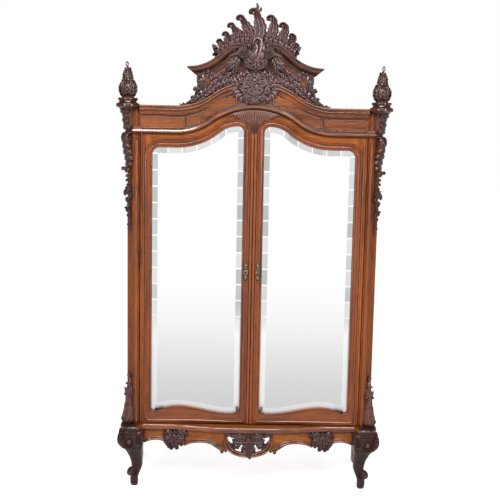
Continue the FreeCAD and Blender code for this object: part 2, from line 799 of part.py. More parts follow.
def plume(root_x, root_z, tip_x, tip_z, width, curl):
    """One plume of the crest: a horn that bends to its tip and ends in a curl."""
    root, tip = V(root_x, 0, root_z), V(tip_x, 0, tip_z)
    along = (tip - root).normalize()
    beside = V(along.z, 0, -along.x)
    bend = beside * (math.copysign(1, curl) * 0.16 * (tip - root).Length)
    middle = (root + tip) * 0.5
    low, high = root - beside * (width / 2), root + beside * (width / 2)
    edges = [Part.Arc(low, middle + bend - beside * (width * 0.42), tip).toShape(),
             Part.Arc(tip, middle + bend + beside * (width * 0.42), high).toShape(),
             Part.LineSegment(high, low).toShape()]
    horn = Part.Face(Part.Wire(edges)).extrude(V(0, crest_thick, 0))
    radius = abs(curl)
    centre = tip - beside * curl - along * (radius * 0.4)
    return horn.fuse(rod(centre, ALONG_Y, radius, crest_thick))


def crest():
    """The crest of plumes that rises between the volutes, every tip but one curled to the left."""
    foot = V(12, 0, 0)
    fan = rod(foot, ALONG_Y, 44, crest_thick)
    plumes = [(-10, 34, -222, -58, 34, 14), (-14, 44, -222, -14, 34, 15),
              (-14, 54, -212, 34, 32, 15), (-12, 59, -178, 76, 34, 16),
              (-6, 64, -142, 120, 36, 17), (0, 66, -92, 162, 38, 18),
              (12, 66, -18, 200, 48, 22), (30, 62, 88, 164, 38, 17),
              (36, 54, 156, 122, 36, 16), (38, 44, 212, 62, 34, 15),
              (34, 34, 222, -6, 32, -13), (8, 174, 6, 231, 12, 4)]
    shape = fan.fuse([plume(*values) for values in plumes])
    keystone = rod(foot, -ALONG_Z, 30, 60)
    keystone = keystone.common(block(-50, 50, 0, crest_thick, -106, 44))
    shape = shape.fuse(keystone)
    shape.translate(V(0, door_face - crest_thick, roof_crown))
    roof = [mirrored(roof_moulding(), side) for _, side in SIDES]
    return max(shape.cut(roof).Solids, key=lambda solid: solid.Volume)


def bouquet():
    """The flower cartouche in the middle with a floral wing along the cornice on each side."""
    steps = ((bouquet_radius, 0.4), (bouquet_radius * 0.8, 0.7), (bouquet_radius * 0.5, 1.0))
    discs = [rod(V(0, door_face - bouquet_rise * share, bouquet_z), ALONG_Y, radius, bouquet_rise * share)
             for radius, share in steps]
    wings = serpentine(cornice_top, seat_gap, cornice_top, wing_rise, half_width,
                       door_face - wing_thick, door_face)
    wings = wings.common(block(-pediment_half, pediment_half, -half_width, back, 0, 2 * cornice_top))
    shape = discs[0].fuse(discs[1:] + [wings])
    roof = [mirrored(roof_moulding(), side) for _, side in SIDES]
    return max(shape.cut(roof).Solids, key=lambda solid: solid.Volume)


def bracket():
    """The acanthus scroll bracket between the roof tip and the cornice (right side)."""
    low = cornice_top + seat_gap
    inner = pediment_half + seat_gap
    tail = pediment_half + bracket_reach
    top = low + bracket_rise
    points = [(inner, low + 42), (inner + 52, low + 13, 20), (tail, low + 1),
              (tail, low + 12, 5), (inner + 70, low + 34, 30), (inner + 56, top - 73, 20),
              (inner + 16, top - 30, 20), (inner + 48, top - 4), (inner, top)]
    shape = plate(points, door_face, door_face + board)
    hole = rod(V(inner + 30, -half_width, top - 96), ALONG_Y, 10, 2 * half_width)
    roof = mirrored(roof_moulding(), 1)
    return max(shape.cut([hole, roof, cornice_room(seat_gap)]).Solids, key=lambda solid: solid.Volume)


def cornice_room(margin):
    """Everything below the frieze's rising top line, with a margin over it."""
    return serpentine(0, 0, cornice_top, margin, post_inner, -half_width, back)


# ---------------------------------------------------------------- doors
def sight_line():
    """Sight line of the right-hand mirror, anticlockwise."""
    slope = (sight_crown - sight_head) / (sight_head_x - sight_crown_x)
    turn = 2 * math.atan(slope)
    hollow = (sight_head_x - sight_turn_x) / math.sin(turn)
    crown = (sight_turn_x - sight_crown_x) / math.sin(turn)
    return [(sight_inner, sight_foot, 46), (sight_low_x, sight_foot, 460),
            (sight_hump_x, sight_foot + hump_rise, 360), (sight_outer, sight_foot + foot_turn, 10),
            (sight_outer, sight_head, 44), (sight_head_x - hollow * slope, sight_head, hollow),
            (sight_crown_x + crown * slope, sight_crown, crown), (sight_inner, sight_crown, 34)]


def door_blank(thick_from, thick_to):
    """The outline of the right-hand door with thickness."""
    over = both_halves([(door_outer, arch_spring)] + arch_line(arch_spring))
    points = [(door_outer, door_foot), (-door_outer, door_foot)] + over
    shape = plate(points, thick_from, thick_to)
    return shape.common(block(door_inner, 2 * half_width, thick_from, thick_to, 0, beyond))


def door_frame(side):
    """Stiles and rails of a door, rebated for the mirror and bored for its pivots and lock."""
    shape = door_blank(door_face, door_back)
    edge = [e for e in shape.Edges if abs(e.BoundBox.XMin - door_outer) < 0.01
            and e.BoundBox.YMax < door_face + 0.01 and e.BoundBox.ZLength > 100]
    shape = shape.makeFillet(pivot_inset - 0.1, edge)
    opening = plate(grown(sight_line(), lip_reach), door_face - 1, door_back + 1)
    room = plate(grown(sight_line(), rebate), door_face + lip, door_back + 1)
    shape = mirrored(shape.cut([opening, room]), side)
    shape = shape.cut(pivot_holes(pin_radius + seat_gap))
    return shape.cut(lock_mortise() if side > 0 else bolt_mortises())


def lock_mortise():
    """Room for the lock case and the keyhole in the right-hand door."""
    front = door_face + lock_inset
    case = block(door_inner - 1, door_inner + lock_width + seat_gap, front - seat_gap,
                 front + lock_thick + seat_gap, key_z - lock_height / 2 - seat_gap,
                 key_z + lock_height / 2 + seat_gap)
    return [case, keyhole()]


def keyhole():
    return rod(V(key_x, -half_width, key_z), ALONG_Y, keyhole_radius, half_width + door_face + lock_inset)


def bolt_mortises():
    """Rooms in the left-hand door for the lock bolt and for its two flush bolts."""
    y = door_face + lock_inset + lock_wall
    z = key_z + bolt_above_key
    catch = block(-door_inner + 1, -door_inner - bolt_throw - 2, y - slide_gap,
                  y + lock_thick - 2 * lock_wall + slide_gap, z - slide_gap,
                  z + bolt_height + slide_gap)
    half = flush_width / 2 + slide_gap
    head = arch_spring + arch_rise
    rooms = [catch]
    for low, high in ((head - flush_length - flush_throw, head + 1),
                      (door_foot - 1, door_foot + flush_length + flush_throw)):
        rooms.append(block(flush_x - half, flush_x + half, door_back - flush_thick - 2 * slide_gap,
                           door_back + 1, low, high))
    return rooms


def door_moulding(side):
    """The moulding round the mirror; the right-hand one is bored for the key."""
    path = outline(sight_line(), in_front(door_face))
    rise, width = moulding_rise, moulding_width
    profile = [(0, 0), (6, 0, 1), (8, 3, 2.5), (6, 7, 1), (rise - 2, 9, 3), (rise, 14, 6),
               (rise, 32, 7), (5, width - 4, 2), (4, width - 2, 1), (4, width), (0, width)]
    shape = mirrored(follow(path, profile, -ALONG_Y, across), side)
    return shape.cut(keyhole()) if side > 0 else shape


def mirror_plate():
    """A bevelled mirror plate (right side)."""
    rim = grown(sight_line(), rebate - slide_gap)
    flat = grown(sight_line(), -bevel_width)
    front = door_face + lip
    body = plate(rim, front + bevel_drop, front + mirror_thick)
    bevel = Part.makeLoft([outline(rim, in_front(front + bevel_drop)), outline(flat, in_front(front))],
                          True, True)
    return body.fuse(bevel)


def mirror_back():
    front = door_face + lip + mirror_thick
    return plate(grown(sight_line(), rebate - slide_gap), front, front + mirror_back_thick)


def meeting_strip():
    """The bead beside the joint with one half of the fluted fan above it (right side)."""
    face = door_face - strip_rise
    bead = block(door_inner, strip_edge, face, door_face, door_foot, fan_foot)
    rim = [e for e in bead.Edges if e.BoundBox.YMax < face + 0.01 and e.BoundBox.ZLength > 100]
    bead = bead.makeFillet(strip_rise * 0.6, rim)
    fan = door_blank(face, door_face)
    fan = fan.common(block(0, fan_half_width, face, door_face, fan_foot, beyond))
    surround = plate(grown(sight_line(), moulding_width + seat_gap), face - 1, door_face + 1)
    outside = block(strip_edge, 2 * half_width, face - 1, door_face + 1, 0, fan_foot + 30)
    fan = max(fan.cut([surround, outside]).Solids, key=lambda solid: solid.CenterOfMass.z)
    return bead.fuse(fan)


# ---------------------------------------------------------------- hardware
def hinge_pivots():
    """Four pins: fixed in base and frieze, turning in the doors' edges."""
    pins = []
    for side in (-1, 1):
        for level, gap, into in ((base_top, foot_gap, 1), (arch_spring, running_gap, -1)):
            low = level - pin_reach
            high = level + gap + pin_reach - seat_gap
            if into < 0:
                low, high = low + seat_gap, high + seat_gap
            pins.append(rod(V(side * pivot_x, pivot_y, low), ALONG_Z, pin_radius, high - low))
    return pins


def lock_case():
    """The mortised lock case with room for the bit and the bolt."""
    front = door_face + lock_inset
    shape = block(door_inner, door_inner + lock_width, front, front + lock_thick,
                  key_z - lock_height / 2, key_z + lock_height / 2)
    inner_front = front + lock_wall
    inner_depth = lock_thick - 2 * lock_wall
    bit_room = rod(V(key_x, inner_front, key_z), ALONG_Y, bit_reach + slide_gap, inner_depth)
    bit_room = bit_room.common(block(0, door_inner + lock_width - lock_wall, front, front + lock_thick,
                                     0, 2 * key_z))
    bolt_room = block(door_inner - 1, door_inner + lock_width - lock_wall, inner_front,
                      inner_front + inner_depth, key_z + bolt_above_key - slide_gap,
                      key_z + bolt_above_key + bolt_height + slide_gap)
    shank_room = rod(V(key_x, front - 1, key_z), ALONG_Y, keyhole_radius, lock_thick)
    return shape.cut([bit_room, bolt_room, shank_room])


def lock_bolt():
    """The bolt, withdrawn into its case; it slides towards the left-hand door."""
    y = door_face + lock_inset + lock_wall + slide_gap
    return block(door_inner + 0.5, door_inner + lock_width - lock_wall - slide_gap, y,
                 y + lock_thick - 2 * lock_wall - 2 * slide_gap, key_z + bolt_above_key,
                 key_z + bolt_above_key + bolt_height)


def key():
    """The key in its hole, its bow upright in front of the escutcheon."""
    tail = door_face + lock_inset + lock_thick - lock_wall - slide_gap
    collar = key_y - 1
    bow_y = collar - 12 - bow_radius_outer
    shank = rod(V(key_x, bow_y + bow_radius_inner + 1, key_z), ALONG_Y, shank_radius,
                tail - bow_y - bow_radius_inner - 1)
    ring = rod(V(key_x - bow_thick / 2, bow_y, key_z), ALONG_X, bow_radius_outer, bow_thick)
    ring = ring.cut(rod(V(key_x - bow_thick, bow_y, key_z), ALONG_X, bow_radius_inner, 2 * bow_thick))
    shoulder = rod(V(key_x, collar - 4, key_z), ALONG_Y, keyhole_radius + 0.8, 4)
    bit_thick = 2.6
    bit = block(key_x - bit_thick / 2, key_x + bit_thick / 2, tail - 7, tail, key_z, key_z - bit_reach)
    return shank.fuse([ring, shoulder, bit])


def escutcheon(side):
    """A pierced brass keyhole plate on the moulding (generic scroll outline)."""
    half_w, half_h = escutcheon_width / 2, escutcheon_height / 2
    quarter = [(3, -half_h, 2), (half_w * 0.6, -half_h * 0.72, 4), (half_w * 0.42, -half_h * 0.5, 4),
               (half_w, -half_h * 0.26, 5)]
    right = quarter + [(x, -z, r) for x, z, r in reversed(quarter)]
    left = [(-x, z, r) for x, z, r in reversed(right)]
    points = [(x + key_x, z + key_z, r) for x, z, r in right + left]
    shape = plate(points, moulding_face - escutcheon_thick, moulding_face)
    slot = block(key_x - 1.7, key_x + 1.7, -half_width, door_face, key_z - bit_reach, key_z)
    return mirrored(shape.cut([keyhole(), slot]), side)


def flush_bolt(level, way):
    """A flush bolt in the left-hand door's back, withdrawn; way is +1 up or -1 down."""
    half = flush_width / 2
    end = level - way * slide_gap
    bar = block(flush_x - half, flush_x + half, flush_y - flush_thick, flush_y, end,
                end - way * flush_length)
    knob = rod(V(flush_x, flush_y, end - way * flush_length * 0.8), ALONG_Y, knob_radius, knob_reach)
    return bar.fuse(knob)


# ---------------------------------------------------------------- the whole armoire
def pieces():
    """Every node's name with its shape."""
    made = {
        "front_apron": apron_board(),
        "apron_centre_carving": apron_centre_carving(),
        "apron_palmettes": compound(*(mirrored(apron_palmette(), side) for _, side in SIDES)),
        "base_back_rail": base_back_rail(),
        "base_moulding": base_moulding(),
        "floor_panel": floor_panel(),
        "back_frame": back_frame(),
        "back_panels": compound(*back_panel_rooms(0)),
        "top_panel": top_panel(),
        "frieze_board": frieze_board(),
        "head_moulding": head_moulding(),
        "frieze_panels": compound(*frieze_panels()),
        "cornice_front": compound(*cornice_front()),
        "pediment_board": pediment_board(),
        "roof_mouldings": compound(*(mirrored(roof_moulding(), side) for _, side in SIDES)),
        "finials": compound(*(mirrored(finial(), side) for _, side in SIDES)),
        "crest_plumes": crest(),
        "bouquet": bouquet(),
        "crest_brackets": compound(*(mirrored(bracket(), side) for _, side in SIDES)),
        "hinge_pivots": compound(*hinge_pivots()),
        "lock_case": lock_case(),
        "lock_bolt": lock_bolt(),
        "key": key(),
        "flush_bolt_top": flush_bolt(arch_spring + arch_rise - 1, 1),
        "flush_bolt_bottom": flush_bolt(door_foot, -1),
        "shelf": shelf(),
        "bearers": compound(*(mirrored(bearer(), side) for _, side in SIDES)),
        "hanging_rail": hanging_rail(),
    }
    for name, side in SIDES:
        made["side_apron_" + name] = mirrored(side_apron(), side)
        made["front_leg_" + name] = mirrored(front_leg(), side)
        made["rear_leg_" + name] = mirrored(rear_leg(), side)
        made["corner_post_" + name] = mirrored(corner_post(), side)
        made["side_frame_" + name] = mirrored(side_frame(), side)
        made["side_panel_" + name] = mirrored(side_panel_room(0), side)
        made["post_garland_" + name] = mirrored(garland(), side)
        made["post_foot_leaf_" + name] = mirrored(foot_leaf(), side)
        made["corner_cap_" + name] = mirrored(corner_cap(), side)
        made["cornice_side_" + name] = mirrored(cornice_side(), side)
        made["door_frame_" + name] = door_frame(side)
        made["door_moulding_" + name] = door_moulding(side)
        made["mirror_" + name] = mirrored(mirror_plate(), side)
        made["mirror_back_" + name] = mirrored(mirror_back(), side)
        made["meeting_strip_" + name] = mirrored(meeting_strip(), side)
        made["escutcheon_" + name] = escutcheon(side)
    return made


os.makedirs(OUT_FOLDER, exist_ok=True)
for node, node_shape in pieces().items():
    write(node, node_shape)
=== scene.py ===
import functools
import math

import bmesh
import bpy
import numpy as np
from mathutils import Matrix


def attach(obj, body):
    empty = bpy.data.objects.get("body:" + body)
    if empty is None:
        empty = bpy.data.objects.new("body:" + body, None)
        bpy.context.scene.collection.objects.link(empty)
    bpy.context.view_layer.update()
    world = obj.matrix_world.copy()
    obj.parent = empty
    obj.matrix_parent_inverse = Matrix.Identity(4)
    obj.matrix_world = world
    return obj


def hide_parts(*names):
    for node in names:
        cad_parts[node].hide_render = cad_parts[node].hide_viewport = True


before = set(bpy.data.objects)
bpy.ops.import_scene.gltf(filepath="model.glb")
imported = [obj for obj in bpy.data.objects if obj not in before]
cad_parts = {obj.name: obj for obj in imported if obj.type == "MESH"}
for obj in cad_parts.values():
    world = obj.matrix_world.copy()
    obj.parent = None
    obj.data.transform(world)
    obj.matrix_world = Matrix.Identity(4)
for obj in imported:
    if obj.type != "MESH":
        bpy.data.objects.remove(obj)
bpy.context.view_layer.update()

# Lengths are in millimetres until a shape becomes a mesh, and a shape's heights have the floor at FEET.
METRE = 1000.0
FEET = -43.0
DOOR_FACE = -200
WELD = 2e-5                     # metres
# Where a door's rails lie: between its stiles, over the mirror's head and under its foot.
RAIL_FROM, RAIL_TO, HEAD_RAIL, FOOT_RAIL = 64.0, 590.0, 2055.0, 520.0


# ---------------------------------------------------------------- small tools

def paint(code):
    """An sRGB hex colour as linear RGBA."""
    channels = [int(code[i:i + 2], 16) / 255 for i in (1, 3, 5)]
    return (*[c / 12.92 if c <= 0.04045 else ((c + 0.055) / 1.055) ** 2.4 for c in channels], 1.0)


def add(tree, kind, inputs=(), **settings):
    """Adds a node with its settings, and fills its inputs, by name or in order, with values or links.
    A shader node's kind goes without its first words, and its operation may stand after it. A node
    given as a value means its first output, and a list means several links."""
    kind, *operation = kind.split()
    node = tree.nodes.new(kind if "Node" in kind else "ShaderNode" + kind)
    if operation:
        node.operation = operation[0]
    for name, value in settings.items():
        if name == "stops":
            ramp = node.color_ramp
            while len(ramp.elements) < len(value):
                ramp.elements.new(0.5)
            for element, (place, code) in zip(ramp.elements, value):
                element.position = place
                element.color = paint(code)
        else:
            setattr(node, name, value)
    for key, given in inputs.items() if isinstance(inputs, dict) else enumerate(inputs):
        for value in given if isinstance(given, list) else [given]:
            if isinstance(value, bpy.types.Node):
                value = value.outputs[0]
            if isinstance(value, bpy.types.NodeSocket):
                tree.links.new(value, node.inputs[key])
            else:
                node.inputs[key].default_value = value
    return node


COLOURS, MULTIPLIED = {"data_type": "RGBA"}, {"data_type": "RGBA", "blend_type": "MULTIPLY"}
WHITE = (1, 1, 1, 1)


def new_material(name):
    """A material, and what adds nodes to it."""
    material = bpy.data.materials.new(name)
    material.use_nodes = True
    material.node_tree.nodes.clear()
    return material, functools.partial(add, material.node_tree)


def finished(material, shader):
    add(material.node_tree, "OutputMaterial", {"Surface": shader})
    return material


def placed(name, data):
    """A new object in the scene."""
    thing = bpy.data.objects.new(name, data)
    bpy.context.scene.collection.objects.link(thing)
    return thing


# ---------------------------------------------------------------- finishes
# Shades go from dark to light. Corner shades are the two shades, darkest first, of the painted shade that
# falls in an inner corner or at a joint with a nearby piece, where some wax also gathers: deep, soft or
# faint.
BROWN = ("#4A220B", "#7C3E14", "#9E5420")
RED_BROWN = ("#54290F", "#8C4A1C", "#AE602A")
CARVED_BROWN = ("#0E0808", "#261615", "#432622", "#6B4438")
STAIN = "#3A1F1A"
WAXED_CORNERS = ("#4A3C3A", "#D0C8C6")
SOFT_CORNERS = ("#8A7A72", "#E6E0DC")
CLEAN_CORNERS = ("#C0B0A6", "#F2ECE8")
STAINED_BEYOND = 662


def in_rails(put, place):
    """1 where a door's head or foot rail runs between its stiles, and 0 in the stiles."""
    spot = put("SeparateXYZ", (place,)).outputs
    across = put("Math ABSOLUTE", (spot["X"],))
    tests = []
    for way, low, high, test in ((across, RAIL_FROM, RAIL_TO, "LESS_THAN"),
                                 (spot["Z"], FOOT_RAIL, HEAD_RAIL, "GREATER_THAN")):
        off_middle = put("Math SUBTRACT", (way, (low + high) / 2 / METRE))
        away = put("Math ABSOLUTE", (off_middle,))
        tests.append(put("Math " + test, (away, (high - low) / 2 / METRE)))
    return put("Math MULTIPLY", tests)


def polished_walnut(name, grain, shades, polish=0.3, railed=False, dark_beyond=None, corners=WAXED_CORNERS):
    """French-polished walnut: long brown figure with darker growth lines, open pores as fine dark
    dashes along the grain, and a thin shellac film over it that gives sharp, soft-edged highlights.
    Up to 1, polish is the film's weight. Above 1.5 it is the IOR of a whole film, as on rubbed mouldings.
    The grain of railed wood turns level in a door's rails. Beyond dark_beyond to either side, in mm,
    the wood is stained as dark as the carving."""
    material, put = new_material(name)
    place = put("TexCoord").outputs["Object"]
    rails = in_rails(put, place) if railed else None

    def drawn_out(share):
        """The space in which a pattern is drawn out along the grain."""
        scales = [tuple(share if axis == way else 1.0 for axis in "xyz") for way in grain + "x" * railed]
        spaces = [put("Mapping", {"Vector": place, "Scale": scale}) for scale in scales]
        if not railed:
            return spaces[0]
        return put("Mix", {"Factor": rails, 4: spaces[0], 5: spaces[1]}, data_type="VECTOR").outputs[1]

    # Along the grain everything is drawn out: 1 in 14 for the figure, 1 in 40 for the pores.
    figure_space, pore_space = drawn_out(1 / 14), drawn_out(1 / 40)
    # Broad figure 60 mm across, growth lines 9 mm apart, pores 1.6 mm apart (real ones are finer).
    sway = put("TexNoise", {"Vector": figure_space, "Scale": METRE / 60, "Detail": 3.0})
    bend = put("VectorMath MULTIPLY", (sway.outputs["Color"], (0.03, 0.03, 0.03)))
    swayed = put("VectorMath ADD", (figure_space, bend))
    rings = put("TexNoise", {"Vector": swayed, "Scale": METRE / 9, "Detail": 4.0, "Roughness": 0.6})
    pores = put("TexNoise", {"Vector": pore_space, "Scale": METRE / 1.6, "Detail": 1.0})
    tone = put("Math MULTIPLY_ADD", (sway, 0.55, 0.0))
    tone = put("Math MULTIPLY_ADD", (rings, 0.5, tone))
    colour = put("ValToRGB", {"Fac": tone}, stops=list(zip((0.36, 0.5, 0.66), shades)))
    dash = put("MapRange", (pores, 0.36, 0.47, 0.55, 1.0))
    grained = put("Mix", {"Factor": 1.0, 6: colour, 7: dash}, **MULTIPLIED)
    if dark_beyond is not None:
        spot = put("SeparateXYZ", {"Vector": place})
        aside = put("Math ABSOLUTE", (spot.outputs["X"],))
        fade = 12               # mm to either side of that place
        stained = put("MapRange", (aside, (dark_beyond - fade) / METRE, (dark_beyond + fade) / METRE))
        grained = put("Mix", {"Factor": stained, 6: grained.outputs[2], 7: paint(STAIN)}, **COLOURS)
    # Painted shade, with some wax: ambient occlusion darkens inner corners and joints with nearby pieces over
    # about 20 mm.
    corner = put("AmbientOcclusion", {"Distance": 20 / METRE}, samples=6)
    worn = put("ValToRGB", {"Fac": corner.outputs["AO"]},
               stops=[(0.3, corners[0]), (0.7, corners[1]), (0.95, "#FFFFFF")])
    waxed = put("Mix", {"Factor": 1.0, 6: grained.outputs[2], 7: worn}, **MULTIPLIED)
    film = put("MapRange", (rings, 0.0, 1.0, 0.3, 0.42))
    surface = put("Bump", {"Height": pores, "Strength": 0.06, "Distance": 0.0004})
    return finished(material, put("BsdfPrincipled", {
        "Base Color": waxed.outputs[2], "Roughness": film, "Specular IOR Level": 0.1, "Normal": surface,
        "Coat Weight": min(polish, 1.0), "Coat Roughness": 0.14, "Coat IOR": max(polish, 1.5),
    }))


def carved_walnut(name, tone=1.0, polish=0.6, shades=CARVED_BROWN):
    """Stained and polished carving: its crests are painted lighter, partly as rubbed wear and partly as a
    painted highlight, and its hollows darker as painted shade, which the carving's own relief attribute tells
    apart; the polish is glossier on the crests and duller in the hollows, with the gouge's small facets."""
    material, put = new_material(name)
    place = put("TexCoord").outputs["Object"]
    relief = put("Attribute", attribute_name="relief").outputs["Fac"]
    # Gouge cuts about 5 mm wide, and stain clouds about 40 mm across.
    cuts = put("TexNoise", {"Vector": place, "Scale": METRE / 5, "Detail": 3.0})
    clouds = put("TexNoise", {"Vector": place, "Scale": METRE / 40})
    # Painted highlight and shade: the colour runs from dark in the hollows to light on the crests, following
    # the relief attribute.
    uneven = put("Math MULTIPLY_ADD", (cuts, 0.25, relief))
    colour = put("ValToRGB", {"Fac": uneven}, stops=list(zip((0.3, 0.55, 0.74, 0.95), shades)))
    clouded = put("MapRange", (clouds, 0.3, 0.7, 0.8 * tone, 1.1 * tone))
    stained = put("Mix", {"Factor": 1.0, 6: colour, 7: clouded}, **MULTIPLIED)
    # Painted shade, where old wax also sits: ambient occlusion darkens hollows about 12 mm deep within the
    # piece nearly to black.
    corner = put("AmbientOcclusion", {"Distance": 12 / METRE}, samples=6, only_local=True)
    worn = put("ValToRGB", {"Fac": corner.outputs["AO"]},
               stops=[(0.2, "#3A3436"), (0.6, "#C0B8B8"), (0.9, "#FFFFFF")])
    waxed = put("Mix", {"Factor": 1.0, 6: stained.outputs[2], 7: worn}, **MULTIPLIED)
    rubbed = put("MapRange", (uneven, 0.4, 0.85, 0.5, 0.2))
    surface = put("Bump", {"Height": cuts, "Strength": 0.2, "Distance": 0.0015})
    return finished(material, put("BsdfPrincipled", {
        "Base Color": waxed.outputs[2], "Roughness": rubbed, "Specular IOR Level": 0.35, "Normal": surface,
        "Coat Weight": polish, "Coat Roughness": 0.18,
    }))


def lining_wood():
    """Planed and waxed oak boards for the inside and the back: paler, dull, with a plain straight grain."""
    material, put = new_material("oak_planed_waxed")
    space = put("Mapping", {"Vector": put("TexCoord").outputs["Object"], "Scale": (1.0, 1.0, 1 / 18)})
    # Grain lines 5 mm apart and board tone 120 mm across.
    lines = put("TexNoise", {"Vector": space, "Scale": METRE / 5, "Detail": 5.0, "Roughness": 0.65})
    board = put("TexNoise", {"Vector": space, "Scale": METRE / 120})
    tone = put("Math MULTIPLY_ADD", (board, 0.4, 0.3))
    tone = put("Math MULTIPLY", (lines, tone))
    colour = put("ValToRGB", {"Fac": tone}, stops=[(0.12, "#5E3F24"), (0.27, "#8A6238"), (0.42, "#A98151")])
    surface = put("Bump", {"Height": lines, "Strength": 0.15, "Distance": 0.0006})
    return finished(material, put("BsdfPrincipled", {
        "Base Color": colour, "Roughness": 0.62, "Specular IOR Level": 0.3, "Normal": surface,
    }))


def silvered_glass():
    """Old silvered plate glass with a ground bevel: the flat gives a clear image, and along the tilted bevel
    the image is blurred and, in its upper part, broken into grey blocks that are a painted reflection of the
    room."""
    material, put = new_material("glass_silvered_bevelled")
    given = put("TexCoord").outputs
    facing, spot = (put("SeparateXYZ", {"Vector": given[name]}).outputs for name in ("Normal", "Object"))
    sideways, straight, upright = (put("Math ABSOLUTE", (facing[way],)) for way in "XYZ")
    bevelled = put("MapRange", (straight, 0.9985, 0.9975))
    # Blocks of painted reflection 96 mm long run up the side bevels, and others 84 mm long run along the
    # head.
    on_side = put("Math GREATER_THAN", (sideways, upright))
    up = put("Math MULTIPLY", (spot["Z"], METRE / 96))
    along = put("Math MULTIPLY", (spot["X"], METRE / 84))
    run = put("Mix", {"Factor": on_side, 2: along, 3: up})
    number = put("Math FLOOR", (run,))
    inside = put("Math FRACT", (run,))
    joint = put("Math LESS_THAN", (inside, 0.09))
    which = put("Math SIGN", (spot["X"],))
    row = put("Math MULTIPLY", (spot["X"], METRE / 200))
    row = put("Math FLOOR", (row,))
    pick = put("TexWhiteNoise", {"Vector": put("CombineXYZ", {"X": number, "Y": row, "Z": which})})
    # Clouds 25 mm across in the painted blocks, and the haze on the glass 90 mm across.
    cloud = put("TexNoise", {"Vector": given["Object"], "Scale": METRE / 25, "Detail": 3.0})
    breath = put("TexNoise", {"Vector": given["Object"], "Scale": METRE / 90})
    value = put("Math MULTIPLY_ADD", (cloud, 0.35, pick))
    shade = put("ValToRGB", {"Fac": value}, stops=[
        (0.2, "#A2A7A8"), (0.5, "#BCC0C0"), (0.8, "#CDD0D0"), (1.0, "#DADCDC"),
    ])
    # The painted blocks come in between 0.95 m and 1.15 m up, where the blur goes.
    high, ground = (put("MapRange", (spot["Z"], 0.95, 1.15, low, top))
                    for low, top in ((0.0, 1.0), (0.66, 0.12)))
    patchy = put("Math MULTIPLY", (bevelled, high))
    kept = put("Math SUBTRACT", (1.0, joint))
    amount = put("Math MULTIPLY", (patchy, kept))
    silver = put("Mix", {"Factor": amount, 6: WHITE, 7: shade}, **COLOURS)
    haze = put("MapRange", (breath, 0.0, 1.0, 0.012, 0.03))
    blur = put("Math MULTIPLY_ADD", (bevelled, ground, haze))
    return finished(material, put("BsdfPrincipled", {
        "Base Color": silver.outputs[2], "Metallic": 1.0, "Roughness": blur,
    }))


def old_metal(name, dull, bright, roughness):
    """Cast brass or drawn steel that has darkened: worn bright where it is touched and dull in between."""
    material, put = new_material(name)
    place = put("TexCoord").outputs["Object"]
    # Tarnish in patches about 8 mm across over a fine grain of about 1 mm.
    tarnish = put("TexNoise", {"Vector": place, "Scale": METRE / 8, "Detail": 4.0})
    grain = put("TexNoise", {"Vector": place, "Scale": METRE / 1})
    colour = put("ValToRGB", {"Fac": tarnish}, stops=[(0.38, dull), (0.62, bright)])
    wear = put("MapRange", (tarnish, 0.35, 0.65, roughness + 0.15, roughness))
    surface = put("Bump", {"Height": grain, "Strength": 0.1, "Distance": 0.0003})
    return finished(material, put("BsdfPrincipled", {
        "Base Color": colour, "Metallic": 1.0, "Roughness": wear, "Normal": surface,
    }))


upright_walnut = polished_walnut("walnut_polished_upright", "z", BROWN, corners=SOFT_CORNERS)
level_walnut = polished_walnut("walnut_polished_level", "x", RED_BROWN, 0.5)
frieze_walnut = polished_walnut("walnut_polished_frieze", "x", ("#4A2511", "#7C4120", "#9E5528"), 0.6)
base_walnut = polished_walnut("walnut_polished_base", "x", RED_BROWN, 0.5, dark_beyond=STAINED_BEYOND)
door_walnut = polished_walnut("walnut_polished_doors", "z", ("#542A0E", "#8C4A1A", "#B0602A"), railed=True,
                              corners=SOFT_CORNERS)
side_walnut = polished_walnut("walnut_polished_sides", "y", ("#481E0C", "#723616", "#904A22"))
foot_walnut = polished_walnut("walnut_carved_smooth", "z", ("#3E1A10", "#5E2C1A", "#7C4228"), 1.7)
level_moulding = polished_walnut("walnut_moulded_level", "x", BROWN, 1.85)
base_moulding = polished_walnut("walnut_moulded_base", "x", BROWN, 2.0, dark_beyond=STAINED_BEYOND)
door_moulding = polished_walnut("walnut_moulded_doors", "z", ("#5A2A10", "#7E3E14", "#9A4E1A"), 1.55,
                                railed=True, corners=CLEAN_CORNERS)
pediment_walnut = polished_walnut("walnut_polished_pediment", "x", ("#442318", "#683824", "#8A4E32"), 0.4)
roof_walnut = polished_walnut("walnut_moulded_dark", "x", ("#32170F", "#4E2718", "#6E3C26"), 1.6)
# Copies of the carving: the legs' copy is darker and duller, partly its own colour and partly painted shade
# low down. The crest's copy is lighter and glossier, partly its own colour and partly a painted highlight
# high up.
carving = carved_walnut("walnut_carved_polished")
leg_carving = carved_walnut("walnut_carved_dark", 0.8, 0.15)
fan_carving = carved_walnut("walnut_carved_plain", 1.5, 0.3, ("#24120E", "#40241C", "#643C30", "#8A5C4C"))
crest_carving = carved_walnut("walnut_carved_rubbed", 1.4, 0.95, ("#1A0E10", "#2F1B1E", "#482C2D", "#805C58"))
oak = lining_wood()
mirror_silver = silvered_glass()
brass = old_metal("brass_cast_aged", "#4A4232", "#AFA58C", 0.34)
steel = old_metal("steel_drawn_blued", "#4A4744", "#8C8C8A", 0.38)


# ---------------------------------------------------------------- shapes in a local frame
# A shape is (points, faces). Its own frame is across, up and out of the surface that it sits on.

def unit(vectors):
    return vectors / np.maximum(np.linalg.norm(vectors, axis=-1, keepdims=True), 1e-9)


def lengths_along(line):
    """How far along a line each of its points is."""
    return np.r_[0, np.cumsum(np.linalg.norm(np.diff(line, axis=0), axis=1))]


def points_at(line, at):
    """The points of a line at these lengths along it."""
    length = lengths_along(line)
    return np.stack([np.interp(at, length, way) for way in line.T], 1)


